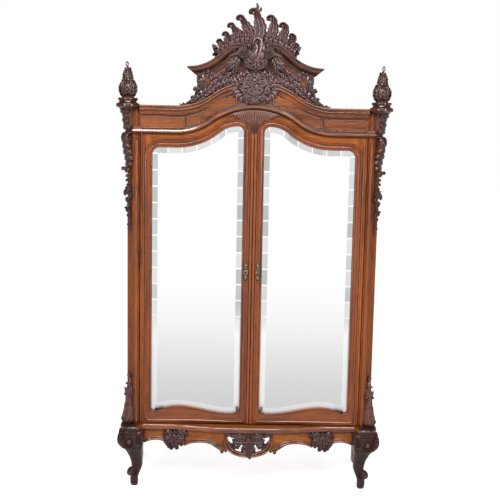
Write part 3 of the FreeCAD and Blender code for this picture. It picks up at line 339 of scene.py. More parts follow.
def path_through(points, rows):
    """A smooth line through the points, evenly divided."""
    knots = np.array(points, float)
    if len(knots) == 2:
        return np.linspace(knots[0], knots[1], rows)
    padded = np.vstack([2 * knots[0] - knots[1], knots, 2 * knots[-1] - knots[-2]])
    t = np.linspace(0, 1, 16, endpoint=False)[:, None]
    runs = [0.5 * (2 * b + (c - a) * t + (2 * a - 5 * b + 4 * c - d) * t ** 2
                   + (3 * b - a - 3 * c + d) * t ** 3)
            for a, b, c, d in zip(padded, padded[1:], padded[2:], padded[3:])]
    fine = np.vstack(runs + [knots[-1:]])
    return points_at(fine, np.linspace(0, lengths_along(fine)[-1], rows))


def closed_sheet(front, back):
    """A closed shape from a front and a back grid of points with a common border."""
    rows, cols = front.shape[:2]
    points = np.vstack([front.reshape(-1, 3), back.reshape(-1, 3)])
    f = np.arange(rows * cols).reshape(rows, cols)
    b = f + rows * cols
    quads = [
        np.stack([f[:-1, :-1], f[:-1, 1:], f[1:, 1:], f[1:, :-1]], -1).reshape(-1, 4),
        np.stack([b[:-1, :-1], b[1:, :-1], b[1:, 1:], b[:-1, 1:]], -1).reshape(-1, 4),
    ]
    rim_f = np.concatenate([f[0, :-1], f[:-1, -1], f[-1, :0:-1], f[:0:-1, 0]])
    rim_b = rim_f + rows * cols
    quads.append(np.stack([rim_f, rim_b, np.roll(rim_b, -1), np.roll(rim_f, -1)], -1))
    return points, np.vstack(quads).tolist()


def closed_round(grid, loop=False):
    """A closed shape from rings of points, which follow a loop or have shrunk to a point at both ends."""
    g = np.arange(grid.shape[0] * grid.shape[1]).reshape(grid.shape[:2])
    h = np.roll(g, -1, axis=1)
    quads = np.stack([g, h, np.roll(h, -1, axis=0), np.roll(g, -1, axis=0)], -1)
    return grid.reshape(-1, 3), (quads if loop else quads[:-1]).reshape(-1, 4).tolist()


def full_turn(count):
    """Angles evenly divided round a circle."""
    return np.linspace(0, 2 * math.pi, count, endpoint=False)


def turned(profile, cols, centre=(0, 0, 0)):
    """A closed shape turned from (radius, out) points about a centre."""
    grid = np.array([[(r * math.cos(t), r * math.sin(t), out) for t in full_turn(cols)]
                     for r, out in profile])
    return closed_round(grid + np.array(centre, float))


def capped(grid):
    """A closed shape from rings of points along a run, with a flat end at each end."""
    ends = [np.repeat(grid[i].mean(0)[None, None], grid.shape[1], 1) for i in (0, -1)]
    return closed_round(np.concatenate([ends[0], grid, ends[1]]))


def rounded(corners, closed=True, step=7.0):
    """A line of evenly spaced points past corners (u, v, radius), with each of them rounded."""
    flat = np.array([c[:2] for c in corners], float)
    count = len(flat)
    line = []
    for i, corner in enumerate(corners):
        radius = corner[2] if len(corner) > 2 else 0
        if not radius or (not closed and i in (0, count - 1)):
            line.append(flat[i])
            continue
        before, after = unit(flat[i - 1] - flat[i]), unit(flat[(i + 1) % count] - flat[i])
        half = math.acos(np.clip(before @ after, -1, 1)) / 2
        run, hub = radius / math.tan(half), flat[i] + unit(before + after) * radius / math.sin(half)
        start, end = flat[i] + before * run - hub, flat[i] + after * run - hub
        sweep = math.pi - 2 * half
        for t in np.linspace(0, 1, 3 + int(radius * sweep / step)):
            spoke = (math.sin((1 - t) * sweep) * start + math.sin(t * sweep) * end) / math.sin(sweep)
            line.append(hub + spoke)
    if closed:
        line.append(line[0])
    line = np.array(line)
    whole = lengths_along(line)[-1]
    return points_at(line, np.linspace(0, whole, max(8, int(whole / step)), endpoint=not closed))


def right_of(line, closed=True):
    """Unit vectors square to a plane line, to the right of its direction."""
    if closed:
        along = np.roll(line, -1, axis=0) - np.roll(line, 1, axis=0)
    else:
        along = np.gradient(line, axis=0)
    along = unit(along)
    return np.stack([along[:, 1], -along[:, 0]], 1)


def moulded(line, profile, closed=False):
    """A moulding whose profile of (aside, out) points is carried along a line (across, up)."""
    aside = right_of(line, closed)
    profile = np.array(profile, float)
    flat = line[:, None, :] + aside[:, None, :] * profile[None, :, :1]
    out = np.broadcast_to(profile[None, :, 1:], (*flat.shape[:2], 1))
    grid = np.concatenate([flat, out], 2)
    return closed_round(grid, loop=True) if closed else capped(grid)


def half_round(radius, height):
    """The profile of a bead: half a circle or half an oval on a flat back, which is let in 1 mm."""
    turn = np.linspace(0, math.pi, 12)
    return [(radius * math.cos(a), height * math.sin(a)) for a in turn] + [(-radius, -1.0), (radius, -1.0)]


def strip(across, foot, head, side):
    """An upright moulding. Its profile is given on one side of its middle, from the back to the crest."""
    line = rounded([(across, foot), (across, head)], closed=False, step=60.0)
    return moulded(line, side + [(-aside, out) for aside, out in reversed(side)])


def joined(*shapes):
    points, faces, count = [], [], 0
    for p, f in shapes:
        points.append(p)
        faces.extend([[i + count for i in face] for face in f])
        count += len(p)
    return np.vstack(points), faces


def set_on(shape, origin, across=(1, 0, 0), out=(0, -1, 0)):
    """Sets a shape from its own frame onto a surface of the armoire."""
    across, out = unit(np.array(across, float)), unit(np.array(out, float))
    up = np.cross(out, across)
    points, faces = shape
    return points @ np.array([across, up, out]) + np.array(origin, float), faces


def on_front(proud, *parts):
    """Sets parts on the armoire's front, this far proud of the doors' face."""
    return set_on(joined(*parts), (0, DOOR_FACE - proud, 0))


def turned_over(shape):
    """The other hand of a shape."""
    points, faces = shape
    return points * (-1, 1, 1), [face[::-1] for face in faces]


def pair(shape):
    """A shape and its other hand."""
    return joined(shape, turned_over(shape))


def relief_band(spine, half_width, rise, thick, rows=40, cols=13, lean=0.0, rolled=False):
    """A band along a spine. half_width(u) and rise(u, v) say its outline and its carving, and lean
    pushes its sides forward, so that lobes point along the spine. A rolled band's spine rolls in the
    plane across = 0, so that its width always runs across."""
    path = path_through(spine, rows)
    along = unit(np.gradient(path, axis=0))
    if rolled:
        hand = 1.0 if along[: rows // 3, 1].mean() >= 0 else -1.0
        side = np.tile([hand, 0.0, 0.0], (rows, 1))
    else:
        side = unit(np.cross(along, (0.0, 0.0, 1.0)))
    normal = np.cross(side, along)
    u = np.linspace(0, 1, rows)[:, None]
    v = np.linspace(-1, 1, cols)[None, :]
    half = np.maximum(half_width(u), 0.5)
    flat = path[:, None, :] + side[:, None, :] * (v * half)[..., None]
    flat = flat + along[:, None, :] * (lean * np.abs(v) ** 1.5 * half)[..., None]
    return closed_sheet(flat + normal[:, None, :] * rise(u, v)[..., None], flat - normal[:, None, :] * thick)


def leaf(spine, width, depth, thick, lobes=4, notch=0.4, base=0.35, fullness=0.75,
         rows=36, cols=13, lean=0.5):
    """An acanthus leaf: rounded lobes with deep cuts between them, a vein to each, and a mid rib."""
    def outline(u):
        blade = base * (1 - u) ** 2 + np.sin(math.pi * u ** fullness) ** 0.75
        cut = notch * (1 - np.abs(np.sin(math.pi * lobes * u))) ** 1.6
        return width / 2 * blade * (1 - cut)

    def rise(u, v):
        crown = 0.7 * (1 - v ** 2) + 0.15
        veins = 0.55 * (np.abs(np.sin(math.pi * lobes * u)) ** 0.6 - 0.5) * np.abs(v) ** 0.7
        rib = -0.45 * np.exp(-(v / 0.13) ** 2)
        return depth * (crown + veins + rib) * (1 - np.abs(v) ** 6 * 0.7) * (1 - u ** 10)

    return relief_band(spine, outline, rise, thick, rows, cols, lean)


def leaves(*rows):
    """Leaves from rows of spine, width, depth, thickness and number of lobes."""
    return [leaf(*row) for row in rows]


def frond(spine, width, depth, thick, furrows, tip=0.7, notch=0.16):
    """A plume: a long fluted blade with a lightly cut edge that keeps its width into a rolled tip."""
    def outline(u):
        body = 0.72 + 0.28 * np.sin(math.pi * u ** 0.8)
        end = np.clip((1 - u) / 0.06, 0, 1) ** 0.5
        cut = notch * (1 - np.abs(np.sin(math.pi * 8 * u))) ** 2 * (1 - u)
        return width / 2 * body * (1 - (1 - tip) * u) * end * (1 - cut)

    def rise(u, v):
        crown = 0.8 * np.sqrt(np.maximum(1 - v ** 2, 0)) + 0.2
        furrow = 0.3 * np.cos(v * math.pi * furrows) * (1 - 0.5 * u)
        return depth * (crown + furrow)

    return relief_band(spine, outline, rise, thick, 44, 17, 0.25)


def scroll_band(spine, width, depth, thick, end=0.45, rows=56):
    """The band of a C or S scroll: two round edges with a hollow between, narrowing to its eye."""
    def rise(u, v):
        edges = np.sqrt(np.maximum(1 - (np.abs(v) * 2 - 1) ** 2, 0))
        return depth * (0.45 + 0.55 * edges) * (1 - 0.4 * u)

    return relief_band(spine, lambda u: width / 2 * (1 - (1 - end) * u), rise, thick, rows, 11)


def boss(centre, radius, height, rings=7, cols=14):
    """A low dome, closed flat at the back."""
    fall = [math.pi / 2 * k / rings for k in range(rings + 1)]
    return turned([(radius * math.sin(a), height * math.cos(a)) for a in fall] + [(0.0, 0.0)], cols, centre)


def volute(centre, radius, width, start, sweep, lead=(), depth=8.0, out=0.0, rise=6.0):
    """A scroll that comes in along the lead points and winds up round a button, from start through
    sweep degrees."""
    k = np.linspace(0, 1, 24)
    outer, eye = radius - width / 2, width * 0.55
    angle, reach = np.radians(start + sweep * k), outer + (eye - outer) * k ** 0.85
    wound = [centre[0] + reach * np.cos(angle), centre[1] + reach * np.sin(angle), out + rise * k]
    spine = np.vstack([np.array(lead, float).reshape(-1, 3), np.stack(wound, 1)])
    band = scroll_band(spine, width, depth, 4.0 + rise, rows=30 + int(abs(sweep) / 9))
    return joined(band, boss((*centre, out - 3), eye, depth + rise + 5))


# ---------------------------------------------------------------- grown shapes

def growth(name, **inputs):
    """A geometry tree with named inputs, what adds nodes to it, and what it is given. The mesh, the size
    along the run's end and the finish are inputs of every tree. Names of inputs use _ for a space."""
    tree = bpy.data.node_groups.new(name, "GeometryNodeTree")
    kinds = {"Geometry": ("Geometry", None), "Finish": ("Material", None), **inputs}
    for label, (kind, value) in kinds.items():
        socket = tree.interface.new_socket(name=label.replace("_", " "), in_out="INPUT",
                                           socket_type="NodeSocket" + kind)
        if value is not None:
            socket.default_value = value
    tree.interface.new_socket(name="Geometry", in_out="OUTPUT", socket_type="NodeSocketGeometry")
    put = functools.partial(add, tree)
    return tree, put, put("NodeGroupInput").outputs


def finish_growth(put, given, made):
    """Makes what has grown into real geometry with its finish."""
    together = put("GeometryNodeJoinGeometry", {0: made})
    whole = put("GeometryNodeRealizeInstances", {"Geometry": together})
    dressed = put("GeometryNodeSetMaterial", {"Geometry": whole, "Material": given["Finish"]})
    put("NodeGroupOutput", {0: dressed})


def flower_tree():
    """Petals set round a button in two rings. The mesh that it is given is one petal, lying along X."""
    tree, put, given = growth("flower_petals", Petals=("Int", 6), Open=("Float", 0.5),
                              Inner_size=("Float", 0.62), Button=("Float", 3.0))
    step = put("Math DIVIDE", (2 * math.pi, given["Petals"]))
    small = put("CombineXYZ", (given["Inner size"],) * 3)
    rings = []
    for tilt, lift, turn, size in ((1.0, 0.0, 0.0, (1, 1, 1)), (1.9, 1.5, 0.5, small)):
        order = put("Math ADD", (put("GeometryNodeInputIndex"), turn))
        angle = put("Math MULTIPLY", (order, step))
        raised = put("Math MULTIPLY", (given["Open"], -tilt))
        around = put("GeometryNodePoints", {"Count": given["Petals"], "Position": (0, 0, lift)})
        rings.append(put("GeometryNodeInstanceOnPoints", {
            "Points": around, "Instance": given["Geometry"], "Scale": size,
            "Rotation": put("CombineXYZ", {"Y": raised, "Z": angle}),
        }))
    button = put("GeometryNodeMeshIcoSphere", {"Radius": given["Button"], "Subdivisions": 2})
    lifted = put("GeometryNodeTransform", {"Geometry": button, "Translation": (0, 0, 3.0)})
    finish_growth(put, given, [*rings, lifted])
    return tree


def rod(put, line, sides, radius):
    """A round rod along a line, closed at its ends."""
    ring = put("GeometryNodeCurvePrimitiveCircle", {"Resolution": sides, "Radius": radius})
    return put("GeometryNodeCurveToMesh", {"Curve": line, "Profile Curve": ring, "Fill Caps": True})


def tapered(put, given):
    """From full size at the start of a line to the given size at its end."""
    run = put("GeometryNodeSplineParameter").outputs["Factor"]
    return put("MapRange", (run, 0.0, 1.0, 1.0, given["End size"]))


def spray_tree():
    """Leaflets set by turns on both sides of a stem. The mesh that it is given is the stem, in a plane."""
    tree, put, given = growth(
        "leaf_spray", Spacing=("Float", 12.0), Spread=("Float", 0.9), Lift=("Float", 0.35),
        Size=("Float", 1.0), End_size=("Float", 0.55), Stem=("Float", 2.2), Seed=("Int", 1),
        Leaflet=("Object", None))
    stem = put("GeometryNodeMeshToCurve", {"Mesh": given["Geometry"]})
    spaced = put("GeometryNodeResampleCurve", {"Curve": stem, "Length": given["Spacing"]}, mode="LENGTH")
    odd = put("Math MODULO", (put("GeometryNodeInputIndex"), 2.0))
    side = put("Math MULTIPLY_ADD", (odd, 2.0, -1.0))
    tangent = put("SeparateXYZ", {0: put("GeometryNodeInputTangent")}).outputs
    heading = put("Math ARCTAN2", (tangent["Y"], tangent["X"]))
    # Each leaflet opens and grows from 0.7 to 1.3 times as far as the mean.
    loose = put("FunctionNodeRandomValue", {2: 0.7, 3: 1.3, "Seed": given["Seed"]}, data_type="FLOAT")
    loose = loose.outputs[1]
    opened = put("Math MULTIPLY", (given["Spread"], loose))
    angle = put("Math MULTIPLY_ADD", (side, opened, heading))
    raised = put("Math MULTIPLY", (given["Lift"], -1.0))
    sized = put("Math MULTIPLY", (tapered(put, given), given["Size"]))
    varied = put("Math MULTIPLY", (sized, loose))
    pattern = put("GeometryNodeObjectInfo", {"Object": given["Leaflet"]}).outputs["Geometry"]
    leaflets = put("GeometryNodeInstanceOnPoints", {
        "Points": spaced, "Instance": pattern, "Rotation": put("CombineXYZ", {"Y": raised, "Z": angle}),
        "Scale": put("CombineXYZ", (varied,) * 3),
    })
    finish_growth(put, given, [leaflets, rod(put, stem, 8, given["Stem"])])
    return tree


def bead_tree():
    """A round bead worked along an edge. The mesh that it is given is the edge's line."""
    tree, put, given = growth("edge_bead", Radius=("Float", 4.0), End_size=("Float", 1.0))
    line = put("GeometryNodeMeshToCurve", {"Mesh": given["Geometry"]})
    sized = put("GeometryNodeSetCurveRadius", {"Curve": line, "Radius": tapered(put, given)})
    finish_growth(put, given, [rod(put, sized, 10, given["Radius"])])
    return tree


def plain_mesh(name, points, edges, faces):
    mesh = bpy.data.meshes.new(name)
    mesh.from_pydata([tuple(map(float, p)) for p in points], edges, faces)
    return mesh


def grown(tree, points, faces=(), **values):
    """Runs a tree on a mesh, or on a line where there are no faces, and returns what it made as a shape.
    Names of values use _ for a space."""
    edges = [] if faces else [(i, i + 1) for i in range(len(points) - 1)]
    seed_mesh = plain_mesh("growing", points, edges, list(faces))
    worker = placed("growing", seed_mesh)
    modifier = worker.modifiers.new("growth", "NODES")
    modifier.node_group = tree
    wanted = {"Finish": carving, **{name.replace("_", " "): value for name, value in values.items()}}
    for item in tree.interface.items_tree:
        if item.in_out == "INPUT" and item.name in wanted:
            modifier[item.identifier] = wanted[item.name]
    made = bpy.data.meshes.new_from_object(worker.evaluated_get(bpy.context.evaluated_depsgraph_get()))
    shape = (np.array([v.co[:] for v in made.vertices]), [list(p.vertices) for p in made.polygons])
    worker.modifiers.remove(modifier)
    bpy.data.objects.remove(worker)
    bpy.data.meshes.remove(seed_mesh)
    bpy.data.meshes.remove(made)
    return shape


flower_petals, leaf_spray, edge_bead = flower_tree(), spray_tree(), bead_tree()

leaflet_points, leaflet_faces = leaf([(0, 0, 0), (9, 0, 3), (18, 0, 4), (25, 0, 1)], 15, 3.0, 1.5, 3, 0.45,
                                     rows=14, cols=7)
leaflet = placed("leaflet_pattern", plain_mesh("leaflet_pattern", leaflet_points, [], leaflet_faces))
PETAL_REACH = 20
petal_points, petal_faces = leaf([(1, 0, 0), (8, 0, 1.5), (15, 0, 3.5), (PETAL_REACH, 0, 3)], 15, 3.0, 1.5,
                                 1, 0.0, base=0.6, fullness=1.1, rows=9, cols=7, lean=0.2)


def flower(across, up, radius, lift, petals=5, opened=0.4):
    """A carved flower, its face outwards."""
    points, faces = grown(flower_petals, petal_points, petal_faces, Petals=petals, Open=opened, Button=4.0)
    return points * (radius / PETAL_REACH) + np.array([across, up, lift]), faces


def spray(points, size, spacing, spread, end, seed):
    """A leafy stem through the points."""
    return grown(leaf_spray, path_through(points, 24), Spacing=spacing, Spread=spread, Size=size,
                 End_size=end, Seed=seed, Lift=0.35, Leaflet=leaflet)


def bead(points, radius, end=1.0, rows=90):
    """A round bead through the points."""
    return grown(edge_bead, path_through(points, rows), Radius=radius, End_size=end)


# ---------------------------------------------------------------- pieces into the scene

def mark_relief(mesh):
    """Stores how far each point stands out from its neighbours, from 0 in a hollow to 1 on a crest."""
    def read(source, what, width, kind=float):
        values = np.empty(len(source) * width, kind)
        source.foreach_get(what, values)
        return values.reshape(-1, width)

    at, normal = read(mesh.vertices, "co", 3), read(mesh.vertex_normals, "vector", 3)
    a, b = read(mesh.edges, "vertices", 2, int).T
    count = len(at)
    share = np.maximum(np.bincount(np.r_[a, b], minlength=count), 1)

    def around(values):
        """The mean of a value over each point's neighbours."""
        return (np.bincount(a, values[b], count) + np.bincount(b, values[a], count)) / share

    least_reach, gain = 4e-4, 0.42          # the first in metres, so that fine meshes aren't speckled
    middle = np.stack([around(at[:, i]) for i in range(3)], 1)
    reach = around(np.linalg.norm(at - middle, axis=1)) + least_reach
    swell = ((at - middle) * normal).sum(1) / reach
    for _ in range(2):
        swell = 0.5 * swell + 0.5 * around(swell)
    layer = mesh.attributes.new("relief", "FLOAT", "POINT")
    layer.data.foreach_set("value", np.clip(0.5 + gain * swell, 0, 1))


def make_piece(name, shape, stands_for=(), material=carving, slot="walnut_carved", crease=50, body="carcase"):
    """Makes a piece of the armoire from a shape in its real place, and lets it ride on its body."""
    points, faces = shape
    mesh = plain_mesh(name, (points - np.array([0, 0, FEET])) / METRE, [], faces)
    work = bmesh.new()
    work.from_mesh(mesh)
    bmesh.ops.remove_doubles(work, verts=work.verts, dist=WELD)
    bmesh.ops.dissolve_degenerate(work, edges=work.edges, dist=1e-6)
    bmesh.ops.recalc_face_normals(work, faces=work.faces)
    work.to_mesh(mesh)
    work.free()
    mesh.polygons.foreach_set("use_smooth", [True] * len(mesh.polygons))
    mesh.set_sharp_from_angle(angle=math.radians(crease))
    mark_relief(mesh)
    mesh.materials.append(material)
    piece = placed(name, mesh)
    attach(piece, body)
    if stands_for:
        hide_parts(*stands_for)


def dress(names, material, smooth=30):
    """Gives CAD nodes their finish. Their loose triangles are welded for shading, and keep their shape."""
    for name in names:
        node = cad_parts[name]
        node.data.materials.clear()
        node.data.materials.append(material)
        node.data.polygons.foreach_set("use_smooth", [True] * len(node.data.polygons))
        node.modifiers.new("weld", "WELD").merge_threshold = WELD
        node.modifiers.new("edges", "EDGE_SPLIT").split_angle = math.radians(smooth)


# ---------------------------------------------------------------- mouldings

ARCH_FOOT = 2087.0
CORNICE_TOP = 2253.0
CORNICE_END = 663
SWING = 450.0           # where the serpentine lines over a door and its mirror start to rise


def serpentine(end, foot, rise, turn):
    """Corners of a line that swings up from SWING to its end, hollow as far as its turn and then round."""
    slope = rise / (SWING - end)
    bend = math.sin(2 * math.atan(slope))
    hollow, crown = (SWING - turn) / bend, (turn - end) / bend
    return [(SWING - hollow * slope, foot, hollow), (end + crown * slope, foot + rise, crown)]


def from_left_to_right(right, step=7.0):
    """A line past corners that are given for the right half, from the outer end to the middle."""
    return rounded([(-c[0], *c[1:]) for c in right] + right[::-1], closed=False, step=step)


def arch_line(reach, foot=ARCH_FOOT):
    """The serpentine line over the doors."""
    return from_left_to_right([(reach, foot), *serpentine(0, foot, 148.0, 245.0)])


def head_torus():
    """The heavy rounded moulding that follows the doors' top line. It was planed by hand: its upper face
    leans back along the left end and on the right slope, where it catches the light, and is full in the
    middle and at the right end."""
    line = arch_line(702)
    aside = right_of(line, closed=False)
    underside = [(-8, 0), (-8.2, 12), (-9, 20), (-11, 25), (-14, 27.6), (-16.5, 28.0)]
    top = [(-31.2, 2.8), (-43, 2.6), (-44, 0)]
    leaning = np.array(underside + [(-18, 27.7), (-25, 26.0), (-28.5, 20), (-30, 12)] + top)
    full = np.array(underside + [(-18, 28.2), (-25, 27.9), (-28.5, 24), (-30, 14)] + top)
    # How much it leans back, from 0 to 1, at places across.
    lean = np.interp(line[:, 0], [-350, -170, 60, 160, 310, 400], [1, 0.3, 0, 0.8, 0.8, 0.1])[:, None]
    out = lean * leaning[None, :, 1] + (1 - lean) * full[None, :, 1]
    flat = line[:, None, :] + aside[:, None, :] * leaning[None, :, :1]
    return on_front(0, capped(np.concatenate([flat, out[:, :, None]], 2)))


def panel_beads():
    """The moulded frames round the panels of the frieze."""
    level = rounded([(408, 2124), (652, 2124), (652, 2185), (408, 2185)])
    lines = [arch_line(CORNICE_END, foot) for foot in (ARCH_FOOT + 46, CORNICE_TOP - 66)]
    under, over = (line[(line[:, 0] > 107) & (line[:, 0] < 391)] for line in lines)
    wing = rounded([tuple(p) for p in np.vstack([under, over[::-1]])], step=6.0)
    frames = [moulded(line, half_round(3.8, 5.5), closed=True) for line in (level, wing)]
    return on_front(3, pair(joined(*frames)))


def pediment_beads():
    """The two beads that follow the roof's underside across the tympanum."""
    parts = []
    for radius, drop in ((4.5, 0), (3.0, 13)):
        line = [(x, z - drop, 0) for x, z in ((264, 2418), (216, 2438), (166, 2474), (124, 2510), (96, 2528))]
        parts.append(on_front(2, bead(line, radius)))
    return pair(joined(*parts))


def cornice_beads():
    """The fine beads that line the cornice: at its top edge, under its fascia and at its foot."""
    parts = []
    for drop, proud, radius in ((5, 33, 4.0), (23, 25, 3.5), (49, 3, 4.5)):
        line = arch_line(CORNICE_END, CORNICE_TOP - drop)
        parts.append(on_front(proud, moulded(line, half_round(radius, radius))))
    return joined(*parts)


def sight_line():
    """The line that the mirror shows in, anticlockwise (right-hand door)."""
    foot = [(60, 423, 46), (170, 423, 460), (440, 474, 360), (592, 430, 10), (592, 2012, 44)]
    return rounded([*foot, *serpentine(95, 2012, 129, 200), (60, 2141, 34)])


def mirror_moulding():
    """The moulding round a mirror: a bead at the glass, a hollow with a soft swell, and an outer bead
    that runs straight along the foot rail, so that the moulding is wider there, with a strip on the
    door's outer stile (right-hand door)."""
    springing = 560         # below this the outer line leaves the inner one for the foot rail
    inner = sight_line()
    outer = inner + 42 * right_of(inner)
    low = np.where(inner[:, 1] < springing)[0]
    order = low[np.argsort(np.where(low > len(inner) / 2, low - len(inner), low))]
    run = lengths_along(inner[order])
    rail = rounded([(18, springing), (18, 369, 30), (636, 369, 30), (636, springing)], closed=False, step=3.0)
    outer[order] = points_at(rail, run / run[-1] * lengths_along(rail)[-1])
    width = np.linalg.norm(outer - inner, axis=1)[:, None]
    bead_in = [(0, -1), (0.2, 4), (1.5, 7.5), (4, 9.8), (7, 9.8), (9.5, 7.6), (11, 4.6), (13, 3.6)]
    bead_out = [(17, 2.8), (15, 3.6), (14, 5.5), (7, 10.1), (5, 11.0), (2.8, 10.0), (0.8, 6.0), (0, -1)]
    columns = [(np.full_like(width, d), h) for d, h in bead_in]
    columns += [(13 + (width - 30) * share, h) for share, h in ((0.25, 4.6), (0.5, 5.2), (0.75, 4.4))]
    columns += [(width - d, h) for d, h in bead_out]
    across = (outer - inner) / width
    grid = [np.concatenate([inner + across * d, np.full((len(inner), 1), h)], 1) for d, h in columns]
    # The strip ends 17 mm short of the post, so that it clears the post's band with the door at 95 degrees.
    stile = strip(640.5, 366, 2034, [(7.5, -1), (7.5, 1), (5.5, 4.4), (2, 6.0)])
    return on_front(0, closed_round(np.stack(grid, 1), loop=True), stile)


def post_strips():
    """The rounded strips down the inner edges of the corner posts."""
    return pair(on_front(0, strip(684, 352, 2050, [(10, -1), (10, 1), (7, 4.5), (2, 6.6)])))


def base_line(reach):
    """The base's front line in plan, from the left side round to the right, moved outwards by reach."""
    line = from_left_to_right([(762, -60), (762, -258, 58), (674, -258, 24), (650, -200, 24),
                               (430, -200, 620), (180, -250, 620)], step=6.0)
    return line + right_of(line, closed=False) * reach


def base_nose():
    """The rounded nose of the base moulding with a smaller bead under it."""
    parts = []
    for radius, height, reach in ((11.0, 339.0, 4.0), (5.0, 319.0, 2.0)):
        line = base_line(reach)
        parts.append(capped(np.array([
            [(*(p + n * radius * math.cos(a)), height + radius * math.sin(a)) for a in full_turn(14)]
            for p, n in zip(line, right_of(line, closed=False))
        ])))
    return joined(*parts)


# ---------------------------------------------------------------- carved pieces

POST_CANT = (721.0, -181.0)     # across and out: the middle of a corner post's canted face
CAP_CENTRE = (730.0, -215.0)    # and of its cap


def barrel(across, up, out, radius, half_length):
    """A scroll seen end on: a drum lying across, with a stepped button at each end."""
    steps = [(0.0, 5.0), (0.28, 5.0), (0.36, 1.5), (0.55, 1.0), (0.64, 3.0), (0.9, 2.2), (1.0, 0.0)]
    outer = [(r * radius, half_length + a) for r, a in steps]
    rows = outer + [(radius * 0.9, 0.0)] + [(r, -a) for r, a in reversed(outer)]
    grid = np.array([[(a, r * math.cos(t), r * math.sin(t)) for t in full_turn(24)] for r, a in rows])
    return closed_round(grid + np.array([across, up, out], float))


def flutes(count, depth, skew=0.0, crown=0.4):
    """Rounded flutes that run along a band, or obliquely over it where they are skewed."""
    def rise(u, v):
        wave = np.abs(np.cos(math.pi * (count * (v + 1) / 2 + skew * u)))
        return depth * (crown * (1 - v ** 2) + (1 - crown) * wave) * (1 - np.abs(v) ** 8 * 0.6)
    return rise


def between(*knots):
    """A measure that changes smoothly along a band, from (place, value) knots."""
    places, values = zip(*knots)
    return lambda u: np.interp(u, places, values)


def up_middle(*points):
    """A spine of (up, out) points in the plane across = 0."""
    return [(0, *point) for point in points]


def on_cant(shape):
    """Sets a shape on the canted corner of the left post."""
    return set_on(shape, (-POST_CANT[0], POST_CANT[1], 0), (1, -1, 0), (-1, -1, 0))


def around_post(shape, a):
    """Sets a shape that stands away from an upright axis at an angle round it."""
    return set_on(shape, (0, 0, 0), (-math.sin(a), math.cos(a), 0), (math.cos(a), math.sin(a), 0))


def corner_garland():
    """Console under the cap, scroll head, hanging leaf and the pendant of husks and flowers below it."""
    parts = [
        relief_band(up_middle((2102, 16), (2135, 24), (2170, 26), (2200, 36), (2229, 52)),
                    between((0, 22), (0.4, 26), (1, 30)), flutes(3, 7), 40, 30, 19, rolled=True),
        leaf(up_middle((2108, 26), (2150, 36), (2190, 42), (2218, 56), (2226, 68)), 48, 8, 5, lean=0.4),
        relief_band(up_middle((2096, 4), (2094, 30), (2078, 46), (2052, 48), (2034, 36), (2038, 22),
                              (2052, 22)),
                    between((0, 26), (1, 20)), flutes(3, 5), 5, 50, 19, rolled=True),
        barrel(0, 2056, 27, 19, 20), barrel(0, 2122, 22, 12, 25), barrel(0, 2214, 38, 12, 31),
        leaf(up_middle((2046, 44), (2005, 34), (1950, 20), (1905, 20), (1884, 34), (1886, 48)),
             62, 8, 14, 5, 0.45, rows=56, cols=17),
        barrel(0, 1886, 44, 11, 15),
        spray([(0, 1880, 8), (3, 1820, 10), (-3, 1760, 8), (0, 1690, 8), (2, 1620, 8), (0, 1560, 5),
               (0, 1524, 3)], 1.0, 13, 0.75, 0.6, 3),
        spray([(0, 1790, 6), (-16, 1765, 10), (-30, 1735, 8)], 0.9, 9, 0.9, 0.8, 5),
        spray([(0, 1790, 6), (16, 1760, 10), (26, 1728, 6)], 0.9, 9, 0.9, 0.8, 6),
        spray([(0, 1690, 6), (-14, 1668, 8), (-20, 1640, 6)], 0.8, 9, 0.9, 0.8, 7),
        bead([(-34, 2105, -6), (-28, 2105, 12), (0, 2105, 19), (28, 2105, 12), (34, 2105, -6)], 4.5),
    ]
    for place in ((-24, 1742, 21, 10), (17, 1726, 20, 12), (-6, 1706, 17, 14), (4, 1758, 15, 12),
                  (-13, 1652, 17, 9), (11, 1634, 16, 10), (-5, 1612, 13, 9), (0, 1836, 12, 9)):
        parts.append(flower(*place))
    parts += [boss((0, up, 3), 7, 8, 4, 10) for up in (1574, 1546, 1526)]
    return on_cant(joined(*parts))


def foot_leaf():
    """The flaring fluted leaf on the base block at the foot of a post."""
    parts = [
        relief_band(up_middle((354, 34), (385, 38), (430, 28), (480, 17), (530, 12), (600, 7), (662, 2)),
                    between((0, 31), (0.2, 29), (0.5, 24), (0.8, 15), (1, 5)), flutes(5, 7, 1.6, 0.35),
                    40, 60, 31, rolled=True),
        leaf(up_middle((372, 42), (430, 34), (500, 19), (570, 13), (640, 8), (672, 14)),
             40, 7, 6, 6, 0.35, rows=60),
        *leaves(*[([(side * 14, 500, 12), (side * 24, 540, 14), (side * 30, 566, 20)], 24, 5, 6, 3)
                  for side in (-1, 1)]),
        *[barrel(side * across, *rest)
          for across, *rest in ((22, 522, 18, 8, 6), (15, 590, 12, 7, 5), (9, 644, 8, 6, 4))
          for side in (-1, 1)],
    ]
    curl = volute((0, 0), 17, 8, 90, 470, depth=6)
    for side, hand in ((-1, curl), (1, turned_over(curl))):
        parts.append(set_on(hand, (side * 20, 375, 37), (1, 0, 0), (0, 0, 1)))
    return on_cant(joined(*parts))


# Heights and depths of a leg's outer and inner lines. It is alike on its front and its side, where
# y = x + LEG_SHIFT.
LEG_OUTER = [(FEET, 711), (-33, 716), (-3, 718), (17, 716), (40, 713), (66, 711), (92, 712), (134, 722),
             (178, 742), (208, 762), (250, 777), (297, 777), (315, 768)]
LEG_INNER = [(FEET, 674), (-34, 670), (8, 671), (40, 660), (60, 651), (78, 646), (128, 644), (170, 643),
             (205, 640), (232, 636), (315, 636)]
LEG_TOP = 315
LEG_SHIFT = 502.0


